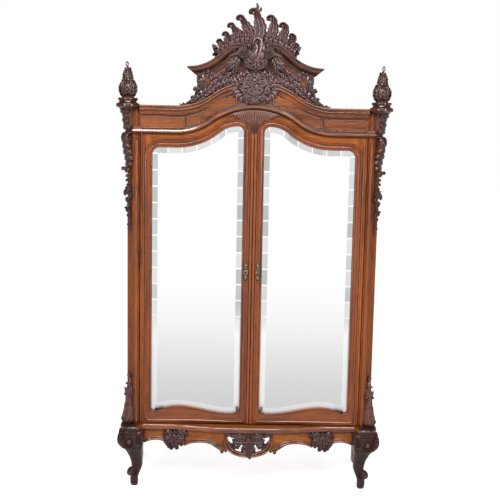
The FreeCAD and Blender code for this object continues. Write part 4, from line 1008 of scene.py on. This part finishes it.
def cabriole_leg():
    """A cabriole leg set on the diagonal, with a carved knee, a leaf down its calf and a scrolled toe."""
    levels = np.linspace(FEET, LEG_TOP, 72)
    turn = full_turn(56)
    c, s = np.cos(turn), np.sin(turn)
    squareness, depth = 3.4, 0.022          # the depth of a fillet is a share of the leg's half width
    round_square = (np.abs(c) ** squareness + np.abs(s) ** squareness) ** (-1 / squareness)
    # Two fillets run down each face, and the outer corner is a soft ridge.
    fillet = 1 - depth * (np.abs(np.sin(turn * 2 + 0.5)) > 0.93)
    rings = []
    for z, a, b in zip(levels, *(-np.interp(levels, *zip(*line)) for line in (LEG_OUTER, LEG_INNER))):
        half, middle = (b - a) / 2, (a + b) / 2
        rings.append(np.stack([middle + half * round_square * fillet * c,
                               middle + LEG_SHIFT + half * round_square * fillet * s,
                               np.full(len(turn), z)], 1))
    body = capped(np.array(rings))

    # An oval cabochon within two rings sits in the knee, and a ridge runs down from it.
    knee, toe = (-715, 258), (-694, 42)
    domes = ((0.0, 17), (0.28, 16), (0.38, 11), (0.45, 1), (0.52, 1), (0.6, 8), (0.7, 8), (0.77, 0),
             (0.82, 0), (0.88, 6), (0.96, 6), (1.0, -6), (0.0, -8))
    face = [
        closed_round(np.array([[(knee[0] + 36 * r * math.cos(t), knee[1] + 46 * r * math.sin(t), h)
                                for t in full_turn(32)] for r, h in domes])),
        scroll_band([(-664, 300, 0), (-690, 309, 5), (-736, 306, 5), (-762, 280, 3), (-764, 246, 0)],
                    13, 6, 8),
        scroll_band([(-662, 292, 0), (-668, 250, 0), (-676, 214, -12), (-700, 204, -16)], 13, 6, 8),
        leaf([(-652, 300, -4), (-646, 262, -4), (-650, 222, -12), (-658, 190, -34)], 22, 5, 10),
        # The toe rolls up into a scroll that shows its spiral on each face.
        volute(toe, 28, 12, 250, 500, depth=7, out=-62, rise=5),
        boss((*toe, -66), 27, 8),
        leaf([(-690, 240, 0), (-662, 226, -2), (-646, 206, -8)], 26, 5, 6, 3),
        leaf([(-738, 244, -4), (-756, 262, 0), (-770, 290, 2)], 24, 5, 6),
    ]
    front = on_front(71, *face)
    points, faces = front
    # The same carving on the leg's outer side: swap the two ways across the diagonal.
    swapped = np.stack([points[:, 1] - LEG_SHIFT, points[:, 0] + LEG_SHIFT, points[:, 2]], 1)
    corner = [
        leaf(up_middle((206, 56), (240, 84), (285, 94), (312, 92)), 46, 7, 12, 7, 0.5),
        *[barrel(0, *rest) for rest in ((300, 90, 8, 7), (266, 92, 7, 9), (238, 82, 7, 6), (218, 66, 7, 6),
                                        (42, -4, 29, 15))],
    ]
    ridge = set_on(joined(*corner), (-708, -206, 0), (1, -1, 0), (-1, -1, 0))
    return joined(body, front, (swapped, [f[::-1] for f in faces]), ridge)


def flame_finial():
    """A lumpy bulb of rolled leaves, and over it a flame of tongues that twist up to a looped tip."""
    profile = [(0, 2292), (34, 2292), (38, 2300), (30, 2308), (40, 2326), (42, 2350), (36, 2374), (22, 2388),
               (24, 2410), (19, 2436), (10, 2458), (5, 2466), (0, 2468)]
    parts = [turned(profile, 28)]
    tiers = (
        (6, 0.0, [(0, 2300, 32), (5, 2326, 44), (8, 2352, 46), (6, 2372, 38), (2, 2380, 30)], 44, 8, 4),
        (5, 0.5, [(0, 2318, 38), (-6, 2346, 46), (-8, 2372, 42), (-5, 2388, 34), (-2, 2390, 42)], 30, 6, 3),
        (5, 0.2, [(6, 2376, 26), (0, 2402, 27), (-9, 2428, 22), (-12, 2450, 15)], 30, 6, 4),
        (4, 0.9, [(4, 2404, 22), (-4, 2430, 18), (-10, 2450, 12), (-8, 2464, 12)], 22, 5, 3),
    )
    for count, start, spine, width, depth, lobes in tiers:
        blade = leaf(spine, width, depth, 3, lobes, 0.35, rows=28, cols=9)
        parts += [around_post(blade, start + 2 * math.pi * k / count) for k in range(count)]
    parts += [around_post(boss((0, 2318 + 7 * k, 34 - 0.7 * k), 12, 15, 5, 10), 2.4 * k) for k in range(9)]
    tip = [(4, 2456, 0), (-1, 2466, 3), (-9, 2472, 5), (-10, 2486, 3), (-5, 2494, 0), (1, 2486, -3),
           (-1, 2472, -2), (-4, 2464, 0)]
    parts.append(set_on(bead(tip, 3.4, 0.7, 40), (0, 0, 0)))
    points, faces = joined(*parts)
    return points + np.array([-CAP_CENTRE[0], CAP_CENTRE[1], 0]), faces


def plume(root, tip, width, hook):
    """One plume of the crest: a broad fluted shaft that narrows and rolls over into a curl on its hook
    side, which is 1 or -1."""
    (rx, rz), (tx, tz) = root, tip
    r = 6 + width * 0.17
    bulge = -hook * 0.16 * (tz - rz)
    curl = [(-1.25, -0.9, 15), (-0.6, 0.6, 19), (0.35, 0.75, 24), (0.85, 0.05, 27), (0.45, -0.6, 27)]
    spine = [(rx, rz, 2), (rx + 0.4 * (tx - rx) + bulge, rz + 0.45 * (tz - rz), 10),
             *[(tx + hook * r * aside, tz + r * up, out) for aside, up, out in curl]]

    def outline(u):
        body = 0.84 + 0.16 * np.sin(math.pi * np.clip(u / 0.6, 0, 1))
        narrowing = 1 - 0.62 * np.clip((u - 0.4) / 0.4, 0, 1) ** 1.2
        cut = 0.2 * (1 - np.abs(np.sin(math.pi * 7 * u))) ** 2
        return width / 2 * body * narrowing * (1 - cut) * np.clip((1 - u) / 0.05, 0, 1) ** 0.5

    def rise(u, v):
        bent = v + 0.25 * u
        return 11 * (0.7 * np.sqrt(np.maximum(1 - v ** 2, 0)) + 0.25 + 0.3 * np.cos(bent * math.pi * 3))

    return joined(relief_band(spine, outline, rise, 12, 48, 21, 0.2), boss((tx, tz, 14), r * 0.75, 17, 5, 12))


def crest():
    """The crest of curled plumes with a fringe of leaves at its foot, and the keystone leaf."""
    plumes = (
        ((5, 2616), (-20, 2780), 76, -1), ((-44, 2612), (-94, 2744), 66, -1),
        ((-88, 2604), (-146, 2702), 56, -1), ((-126, 2594), (-178, 2654), 46, -1),
        ((-160, 2580), (-212, 2614), 38, -1), ((-190, 2562), (-230, 2568), 30, -1),
        ((66, 2614), (78, 2746), 66, -1), ((122, 2604), (148, 2708), 58, -1),
        ((166, 2590), (200, 2652), 42, -1), ((196, 2566), (230, 2600), 34, 1),
        ((208, 2550), (234, 2554), 26, 1), ((-206, 2550), (-236, 2540), 24, -1),
    )
    parts = [plume(*values) for values in plumes] + leaves(
        ([(-4, 2786, 14), (4, 2806, 18), (2, 2824, 20), (-2, 2834, 22)], 18, 4, 5, 3),
        ([(10, 2784, 14), (22, 2796, 16), (24, 2810, 20)], 16, 4, 5, 3),
    )
    # Two rows of leaves roll forward at the plumes' roots, the lower row smaller. The keystone parts them.
    reach, keystone, half_keystone = 204, 8, 24
    for row, (count, top, length, width) in enumerate(((15, 2606, 66, 34), (17, 2578, 48, 28))):
        for k in range(count):
            x = -reach + 2 * reach * (k + 0.5 * row) / (count - 1 + row)
            if abs(x - keystone) < half_keystone:
                continue
            z = top - max(0.0, abs(x) - 70) ** 1.35 * 0.085
            tilt = x / 300 + 0.12 * math.sin(5.0 * k + row)
            dx, dz = length * math.sin(tilt), length * math.cos(tilt)
            out = 8 + 10 * row
            spine = [(x + dx * aside, z + dz * up, out + far)
                     for aside, up, far in ((0, 0, 0), (0.5, 0.5, 12), (0.85, 0.9, 18), (1.05, 0.98, 26))]
            parts.append(leaf(spine, width, 8, 8, 2, 0.35, rows=22, cols=11))
    root = [(x, z, -4) for x, z in ((-206, 2546), (-150, 2576), (-80, 2600), (0, 2606), (80, 2600),
                                    (150, 2576), (206, 2546))]
    parts += [
        relief_band(root, lambda u: 26 + 26 * np.sin(math.pi * u), flutes(1, 6), 8, 60, 9),
        relief_band([(-78, 2546, -12), (-30, 2556, -8), (30, 2556, -8), (78, 2546, -12)],
                    between((0, 70), (1, 70)), flutes(1, 8), 12, 30, 13),
        leaf([(4, 2628, 26), (14, 2596, 46), (12, 2546, 52), (2, 2500, 40), (-6, 2482, 30)],
             62, 14, 22, 3, 0.2),
        bead([(-16, 2604, 42), (-10, 2628, 48), (10, 2636, 54), (28, 2622, 58), (30, 2588, 62),
              (18, 2548, 66), (6, 2510, 56)], 6.5, 0.5, 60),
        frond([(26, 2634, 30), (2, 2610, 52), (-14, 2570, 50), (-12, 2530, 38)], 22, 7, 8, 1.5),
    ]
    return on_front(12, *parts)


def roof_volutes():
    """The scrolls that end the roof mouldings, with the leaf that falls from each and the link between."""
    hand = joined(volute((72, 2548), 36, 17, 95, 560, depth=10, out=38, rise=8), *leaves(
        ([(96, 2530, 18), (116, 2494, 24), (120, 2456, 20), (108, 2420, 14)], 54, 9, 16, 5),
        ([(60, 2530, 24), (46, 2500, 30), (50, 2466, 22)], 40, 8, 14, 4),
        ([(118, 2516, 14), (146, 2486, 20), (160, 2448, 14)], 44, 8, 14, 4),
    ))
    link = scroll_band([(0, 2470, 24), (34, 2478, 26), (58, 2502, 24), (62, 2530, 20)], 28, 9, 18, 0.7)
    middle = leaf([(12, 2520, 26), (6, 2484, 34), (0, 2440, 26)], 46, 9, 14)
    return on_front(22, turned_over(hand), hand, link, turned_over(link), middle)


def flower_bouquet():
    """The cartouche of flowers and leaves in the middle, with a garland along the cornice on each side."""
    parts = [boss((0, 2362, -28), 92, 34, 8, 40)]
    for k in range(24):
        a = 2 * math.pi * k / 24
        c, s = 1.35 * math.cos(a), math.sin(a)
        reach = 104 + 10 * math.sin(2.3 * k)
        parts.append(leaf([(66 * c, 2368 + 66 * s, -16), (90 * c, 2368 + 86 * s, -8),
                           (reach * c, 2368 + reach * 0.92 * s, -18)], 44, 8, 6, 3, rows=20, cols=11))
    for k in range(18):
        a = 2 * math.pi * (k + 0.35) / 18
        c, s = math.cos(a), math.sin(a)
        near, far = 50, 88 + 16 * math.sin(3.1 * k)
        reaches = ((near, 2), ((near + far) / 2, 9), (far, 2))
        parts.append(leaf([(reach * c, 2362 + reach * s, out) for reach, out in reaches], 32, 6, 8, 4,
                          rows=24, cols=11))
    flowers = (
        (-8, 2372, 23, 14), (-46, 2378, 22, 8), (40, 2386, 24, 10), (-22, 2338, 21, 10), (22, 2344, 20, 12),
        (-56, 2334, 18, 5), (14, 2404, 20, 9), (-22, 2402, 18, 8), (68, 2342, 18, 5), (2, 2436, 20, 6),
        (-36, 2420, 19, 6), (40, 2424, 18, 6), (-80, 2362, 15, 4), (86, 2376, 15, 4), (-70, 2404, 15, 4),
        (76, 2408, 15, 4), (8, 2300, 17, 6), (-28, 2300, 14, 5), (40, 2302, 13, 5),
    )
    parts += [flower(x, z, size, lift + 4, 6 if size > 18 else 5, 0.38) for x, z, size, lift in flowers]
    garland = joined(
        spray([(70, 2412, -6), (120, 2420, -10), (170, 2410, -14), (216, 2388, -18), (256, 2352, -20),
               (300, 2312, -22)], 1.5, 13, 0.8, 0.7, 11),
        spray([(80, 2432, -6), (128, 2446, -10), (176, 2440, -14), (222, 2414, -18)], 1.3, 13, 0.9, 0.6, 12),
        spray([(96, 2396, 2), (150, 2388, -6), (200, 2366, -10), (244, 2334, -14)], 1.2, 12, 0.9, 0.7, 13),
        spray([(216, 2400, -18), (250, 2420, -18), (284, 2446, -18)], 1.2, 12, 0.9, 0.7, 14),
        relief_band([(86, 2404, -14), (150, 2404, -18), (210, 2384, -20), (256, 2346, -22), (300, 2304, -24)],
                    between((0, 30), (0.6, 24), (1, 10)), flutes(2, 6), 6, 40, 9),
        *[flower(*place) for place in ((128, 2412, 18, -4), (176, 2400, 17, -8), (222, 2374, 16, -12),
                                       (262, 2338, 14, -16), (150, 2436, 13, -8), (244, 2416, 13, -14))],
    )
    return on_front(28, *parts, turned_over(garland), garland)


def leafy_brackets():
    """The scroll brackets between the roof's tips and the cornice, with their leaves and trailing ends."""
    return pair(on_front(
        -6,
        volute((322, 2408), 27, 15, 60, 470,
               lead=[(296, 2350, 4), (300, 2376, 5), (312, 2392, 6), (330, 2384, 6)]),
        volute((326, 2318), 29, 16, 100, -480, lead=[(300, 2400, 4), (300, 2376, 6), (318, 2356, 6)]),
        *leaves(
            ([(306, 2424, 4), (318, 2442, 6), (340, 2446, 4)], 34, 6, 10, 4),
            ([(300, 2384, 4), (318, 2372, 8), (334, 2362, 4)], 34, 6, 10, 3),
            ([(326, 2344, 4), (344, 2350, 8), (358, 2342, 4)], 26, 6, 10, 3),
            ([(330, 2304, 4), (354, 2298, 8), (372, 2306, 4)], 32, 6, 10, 4),
            ([(300, 2330, 2), (296, 2360, 4), (298, 2396, 2)], 30, 5, 10, 4),
            ([(336, 2290, 2), (362, 2280, 6), (388, 2274, 3)], 26, 5, 10, 4),
        ),
        spray([(330, 2290, 2), (366, 2274, 4), (400, 2266, 3), (432, 2260, 2)], 0.75, 11, 0.8, 0.6, 21),
        relief_band([(300, 2304, -2), (340, 2280, -2), (380, 2266, -2), (432, 2258, -2)],
                    between((0, 16), (0.5, 10), (1, 3)), flutes(1, 5), 8, 30, 7),
        flower(308, 2350, 15, 4),
    ))


def apron_face(x):
    """Where the bowed apron's face is at a place across it: flat in the middle and at the ends, with a
    straight slope between that two bends of 620 mm radius lead into."""
    middle, end, bend = -238.0, -188.0, 2 * 620
    x = abs(x)
    if x < 118:
        return middle
    if x < 241:
        return middle + (x - 118) ** 2 / bend
    if x < 369:
        return -225.8 + (x - 241) * 0.2
    if x < 492:
        return end - (492 - x) ** 2 / bend
    return end


def apron_beads():
    """The double bead along the apron's lower edge, its curled ends, and the rim of the cartouche."""
    parts = []
    for edge in ([(636, 230), (600, 245), (560, 250), (520, 243), (502, 226), (490, 208), (484, 192)],
                 [(390, 217), (350, 236), (300, 245), (250, 246), (200, 231), (170, 212), (156, 196)]):
        line = path_through([(x, z, 0) for x, z in edge], 50)[::7]
        for radius, up in ((8.0, -2), (5.5, 12)):
            parts.append(bead([(x, apron_face(x) + 3.0, z + up) for x, z, _ in line], radius, 0.9, 60))
    parts.append(on_front(
        38,
        volute((158, 192), 15, 10, 60, -430, lead=[(196, 222, 0), (178, 212, 0)], depth=7, rise=3),
        volute((136, 196), 11, 8, 100, 400, lead=[(146, 256, 0), (143, 226, 0)], depth=6, rise=3),
        bead([(0, 164, 4), (40, 167, 4), (88, 182, 4), (120, 206, 3), (138, 236, 2), (142, 262, 0)],
             7.5, 0.8),
        bead([(0, 180, 7), (38, 183, 7), (82, 198, 6), (108, 218, 5), (124, 244, 3), (128, 272, 1)],
             6.0, 0.7),
        volute((134, 270), 13, 8, 0, 400, depth=6, rise=3),
    ))
    return pair(joined(*parts))


def pierced_cartouche():
    """The pierced shell in the middle of the apron: leaves and C scrolls within its rim."""
    right = joined(
        scroll_band([(0, 170, 0), (40, 173, 0), (86, 188, 0), (116, 210, 0), (134, 240, 0)], 26, 6, 16, 0.75),
        scroll_band([(136, 292, 0), (132, 262, 2), (112, 238, 4), (84, 222, 5), (56, 214, 5)],
                    19, 7, 16, 0.6),
        volute((56, 230), 17, 9, 270, 400, depth=6, rise=4),
        *leaves(
            ([(8, 252, 4), (36, 256, 8), (66, 254, 8), (100, 268, 2)], 42, 7, 14, 4),
            ([(8, 270, 4), (34, 284, 8), (70, 290, 6), (112, 286, 2)], 36, 7, 14, 4),
            ([(8, 236, 4), (26, 214, 8), (40, 184, 4)], 30, 6, 14, 3),
            ([(146, 304, 0), (116, 300, 4), (84, 298, 2)], 26, 6, 12, 3),
            ([(116, 244, 0), (100, 220, 4), (78, 196, 2)], 26, 6, 12, 3),
            ([(60, 262, 2), (84, 246, 8), (104, 240, 2)], 22, 5, 12, 3),
        ),
    )
    middle = [
        leaf([(4, 156, 8), (3, 200, 14), (0, 250, 16), (0, 308, 6)], 54, 9, 20, 6, 0.35, rows=60),
        frond([(0, 262, 18), (4, 206, 24), (8, 152, 14)], 24, 8, 8, 1.5),
        boss((0, 268, 12), 17, 18),
        boss((9, 156, 2), 10, 16),
    ]
    return on_front(36, pair(right), *middle)


def leafy_palmettes():
    """The leafy palmettes that lap over the apron's edge, with a bud above and two curled feet."""
    return pair(on_front(
        -1,
        *leaves(
            ([(450, 286, 6), (450, 250, 16), (448, 218, 14), (446, 196, 4)], 50, 9, 12, 4),
            ([(442, 280, 6), (418, 256, 14), (404, 232, 12), (410, 206, 4)], 40, 8, 10, 4),
            ([(458, 280, 6), (482, 256, 14), (494, 232, 12), (488, 206, 4)], 40, 8, 10, 4),
            ([(440, 284, 6), (414, 298, 12), (386, 290, 8), (368, 268, 2)], 34, 7, 8, 5),
            ([(432, 268, 6), (408, 266, 10), (386, 252, 6)], 28, 6, 8, 3),
            ([(460, 284, 6), (482, 296, 12), (504, 286, 8), (516, 268, 2)], 32, 7, 8, 4),
            ([(468, 268, 6), (490, 266, 10), (510, 250, 6)], 26, 6, 8, 3),
            ([(450, 284, 4), (451, 298, 8), (450, 312, 4)], 20, 5, 6, 2),
        ),
        volute((468, 198), 17, 15, 90, 330, lead=[(484, 226, 6)], depth=9, rise=5),
        volute((434, 200), 17, 15, 90, -330, lead=[(418, 228, 6)], depth=9, rise=5),
        boss((450, 318, 2), 9, 14), boss((450, 276, 6), 16, 18), boss((450, 250, -6), 40, 14, 6, 30),
    ))


def door_fan():
    """The fluted half fan at the head of a meeting strip (right-hand door)."""
    rows, cols = 40, 60
    foot, neck, shoulder, crown, crown_radius = 2096, 2107, 2181, 2233.5, 414
    hub, spread, pleats = 2046, 0.46, 7.0   # the pleats run from the hub and divide the spread, in radians
    front = np.zeros((rows, cols, 3))
    for i, u in enumerate(np.linspace(0, 1, rows)):
        # It flares over its neck in a quarter round, and on outwards over its shoulder.
        z = foot + 137 * u
        if z < neck:
            outer = 17.5
        elif z < shoulder:
            outer = 94.6 - math.sqrt(76.6 ** 2 - (z - neck) ** 2)
        else:
            outer = 75.5 + 1.3 * (z - shoulder)
        for j, v in enumerate(np.linspace(0, 1, cols)):
            x = 2.0 + v * (outer - 2.0)
            top = crown - (crown_radius - math.sqrt(crown_radius ** 2 - x ** 2))
            up = foot + (top - foot) * u
            pleat = abs(math.sin(math.pi * pleats * math.atan2(x, up - hub) / spread))
            edge = min(1.0, 6 * min(v + 0.02, 1.02 - v, 1.02 - u, u + 0.05))
            front[i, j] = (x, up, 1.5 + edge * 3.2 * pleat)
    back = front.copy()
    back[..., 2] = -7.7
    return on_front(7.5, closed_sheet(front, back))


def mirror_curls():
    """The little curls where a mirror's lower line springs from its corners (right-hand door)."""
    return on_front(
        9,
        volute((560, 440), 13, 8, 200, -430, lead=[(516, 452, 0), (540, 450, 0)], depth=6, rise=3),
        bead([(60, 432, 2), (70, 440, 5), (76, 454, 5), (70, 466, 3)], 5.0, 0.5, 24),
    )


def lock_scrolls():
    """Cast scrolls and leaves of a keyhole plate, above and below the keyhole (right-hand door)."""
    keyhole = (36, 1290)
    parts = [leaf([(keyhole[0], keyhole[1] + side * up, out) for up, out in ((18, 1), (36, 4), (54, 1))],
                  15, 2.5, 1, 3, rows=20, cols=9) for side in (1, -1)]
    for up, sweep in ((1302, 400), (1274, -400)):
        inner, outer = (volute((across, up), 5.5, 3, 0, sweep, depth=2, rise=1) for across in (29, -43))
        parts += [inner, turned_over(outer)]
    return on_front(13.5, *parts)


def as_it_is(shape):
    return shape


POLISHED = ("walnut_polished", 40)      # a moulding's slot, and the angle at which its edges are sharp
make_piece("head_torus", head_torus(), ["head_moulding"], level_moulding, "walnut_polished", 35)
for name, shape, wood in (("pediment_beads", pediment_beads(), level_moulding),
                          ("cornice_beads", cornice_beads(), level_moulding),
                          ("frieze_panel_beads", panel_beads(), level_moulding),
                          ("post_strips", post_strips(), door_moulding),
                          ("base_nose", base_nose(), base_moulding)):
    make_piece(name, shape, (), wood, *POLISHED)
for name, left, node, wood in (("garland", corner_garland(), "post_garland", carving),
                               ("foot_leaf", foot_leaf(), "post_foot_leaf", foot_walnut),
                               ("cabriole_leg", cabriole_leg(), "front_leg", leg_carving)):
    for side, hand in (("left", as_it_is), ("right", turned_over)):
        make_piece(f"{name}_{side}", hand(left), [f"{node}_{side}"], wood)
make_piece("flame_finials", pair(flame_finial()), ["finials"])
make_piece("plumed_crest", crest(), ["crest_plumes"], crest_carving)
make_piece("roof_volutes", roof_volutes())
make_piece("flower_bouquet", flower_bouquet(), ["bouquet"], crest_carving)
make_piece("leafy_brackets", leafy_brackets(), ["crest_brackets"])
make_piece("apron_beads", apron_beads(), (), level_moulding, "walnut_polished")
make_piece("pierced_cartouche", pierced_cartouche(), ["apron_centre_carving"])
make_piece("leafy_palmettes", leafy_palmettes(), ["apron_palmettes"])
mirror_frame, fan, curls, plate_scrolls = mirror_moulding(), door_fan(), mirror_curls(), lock_scrolls()
for side, hand in (("left", turned_over), ("right", as_it_is)):
    door = "door_" + side
    make_piece("mirror_moulding_" + side, hand(mirror_frame), ["door_moulding_" + side], door_moulding,
               *POLISHED, body=door)
    make_piece("fluted_fan_" + side, hand(fan), material=fan_carving, body=door)
    make_piece("mirror_curls_" + side, hand(curls), body=door)
    make_piece("lock_scrolls_" + side, hand(plate_scrolls), material=brass, slot="brass", body=door)
bpy.data.objects.remove(leaflet)


# ---------------------------------------------------------------- finishes on the CAD pieces

finish_of = {
    upright_walnut: ["corner_post", "side_panel", "rear_leg"],
    door_walnut: ["door_frame"],
    door_moulding: ["meeting_strip"],
    level_walnut: ["front_apron"],
    frieze_walnut: ["frieze_board", "frieze_panels", "cornice_front"],
    base_walnut: ["base_moulding"],
    side_walnut: ["side_frame", "side_apron", "cornice_side"],
    pediment_walnut: ["pediment_board"],
    roof_walnut: ["roof_mouldings", "corner_cap"],
    oak: ["back_frame", "back_panels", "base_back_rail", "floor_panel", "top_panel", "shelf", "bearers",
          "hanging_rail", "mirror_back"],
    brass: ["escutcheon", "flush_bolt", "lock_bolt"],
    steel: ["hinge_pivots", "lock_case", "key"],
}
shown = [name for name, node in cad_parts.items() if not node.hide_render]
for material, starts in finish_of.items():
    dress([name for name in shown if name.startswith(tuple(starts))], material)
dress(["mirror_left", "mirror_right"], mirror_silver, 2)


# ---------------------------------------------------------------- floor, light and camera

def studio_floor():
    """A pale floor that the lamps light up to white, so that only the armoire's soft shadow shows on it.
    In the mirrors it shows a painted reflection of itself that glows, greyer close to the armoire and white
    far from it."""
    material, put = new_material("floor_pale")
    ray = put("LightPath").outputs
    place = put("TexCoord").outputs["Object"]
    tone = put("ValToRGB", {"Fac": put("TexNoise", {"Vector": place, "Scale": 3.0})},
               stops=[(0.3, "#E6E6E5"), (0.7, "#EAEAE9")])
    lit = put("BsdfDiffuse", {"Color": tone})
    seen = put("AddShader", {0: lit, 1: put("Emission", {"Color": WHITE, "Strength": 0.74})})
    # The painted reflection grows lighter from 1.6 m to 7 m in front of the armoire's middle.
    far = put("MapRange", (put("SeparateXYZ", {"Vector": place}).outputs["Y"], -1.6, -7.0))
    image = put("ValToRGB", {"Fac": far}, stops=[
        (0.0, "#D0CFD0"), (0.14, "#D9D8D9"), (0.34, "#E8E8E8"), (0.62, "#F7F7F7"), (1.0, "#FFFFFF"),
    ])
    direct = put("MixShader", {0: ray["Is Camera Ray"], 1: lit, 2: seen})
    mirrored = put("Math MAXIMUM", (ray["Is Glossy Ray"], ray["Is Transmission Ray"]))
    mirror_image = put("Emission", {"Color": image, "Strength": 1.0})
    finished(material, put("MixShader", (mirrored, direct, mirror_image)))
    size = 30
    corners = [(-size, -size, 0), (size, -size, 0), (size, size, 0), (-size, size, 0)]
    floor = placed("floor", plain_mesh("floor", corners, [], [(0, 1, 2, 3)]))
    floor.data.materials.append(material)


def studio_world():
    """White to the camera and the mirrors, and a weak light on everything else."""
    world = bpy.data.worlds.new("studio")
    bpy.context.scene.world = world
    world.use_nodes = True
    world.node_tree.nodes.clear()
    put = functools.partial(add, world.node_tree)
    ray = put("LightPath").outputs
    way = put("SeparateXYZ", {"Vector": put("TexCoord").outputs["Generated"]}).outputs
    # The room's ceiling and side walls are dim in reflections, so that the mouldings show the lamps
    # and not a white haze.
    ceiling = put("MapRange", (way["Z"], 0.14, 0.34, 1.0, 0.2))
    aside = put("Math ABSOLUTE", (way["X"],))
    walls = put("MapRange", (aside, 0.42, 0.7, 1.0, 0.25))
    room = put("Math MULTIPLY", (ceiling, walls))
    reflected = put("Math MULTIPLY", (ray["Is Glossy Ray"], room))
    seen = put("Math MAXIMUM", (ray["Is Camera Ray"], ray["Is Transmission Ray"]))
    glossy = put("Math GREATER_THAN", (ray["Is Glossy Ray"], 0.0))
    fill = put("Math SUBTRACT", (0.45, glossy), use_clamp=True)
    strength = put("Math MAXIMUM", (seen, reflected))
    strength = put("Math MAXIMUM", (strength, fill))
    put("OutputWorld", {"Surface": put("Background", {"Color": WHITE, "Strength": strength})})


def aim(thing, place, forward, roll=0.0):
    """Stands a lamp or the camera at a place, looking forward, and rolls it by an angle."""
    forward = unit(np.array(forward, float))
    level = unit(np.cross(forward, (0, 0, 1)))
    right = math.cos(roll) * level + math.sin(roll) * np.cross(level, forward)
    up = np.cross(right, forward)
    rows = [[right[i], up[i], -forward[i], place[i]] for i in range(3)]
    thing.matrix_world = Matrix(rows + [[0, 0, 0, 1]])


def softbox(name, place, target, width, height, power):
    lamp = bpy.data.lights.new(name, "AREA")
    lamp.shape = "RECTANGLE"
    lamp.size, lamp.size_y, lamp.energy = width, height, power
    aim(placed(name, lamp), place, np.array(target, float) - np.array(place, float))


def camera(place, turn, down, roll, focal_length):
    """A full-frame camera, turned and rolled clockwise and tilted down by angles in degrees."""
    lens = bpy.data.cameras.new("camera")
    lens.sensor_width = 36.0
    lens.lens = focal_length
    turn, down, roll = (math.radians(angle) for angle in (turn, down, roll))
    eye = placed("camera", lens)
    forward = (math.sin(turn) * math.cos(down), math.cos(turn) * math.cos(down), -math.sin(down))
    aim(eye, place, forward, roll)
    bpy.context.scene.camera = eye


studio_floor()
studio_world()
softbox("key_light", (-2.6, -4.4, 3.2), (0, -0.2, 1.4), width=0.5, height=1.8, power=45)
softbox("fill_light", (3.0, -4.0, 2.4), (0, -0.2, 1.3), width=0.4, height=1.8, power=40)
softbox("top_light", (0.0, -3.8, 4.4), (0, -0.2, 1.3), width=3.2, height=1.3, power=165)
camera((-0.064, -5.2, 2.138), turn=0.59, down=7.56, roll=1.112, focal_length=61.54)
bpy.context.scene.view_settings.view_transform = "Standard"
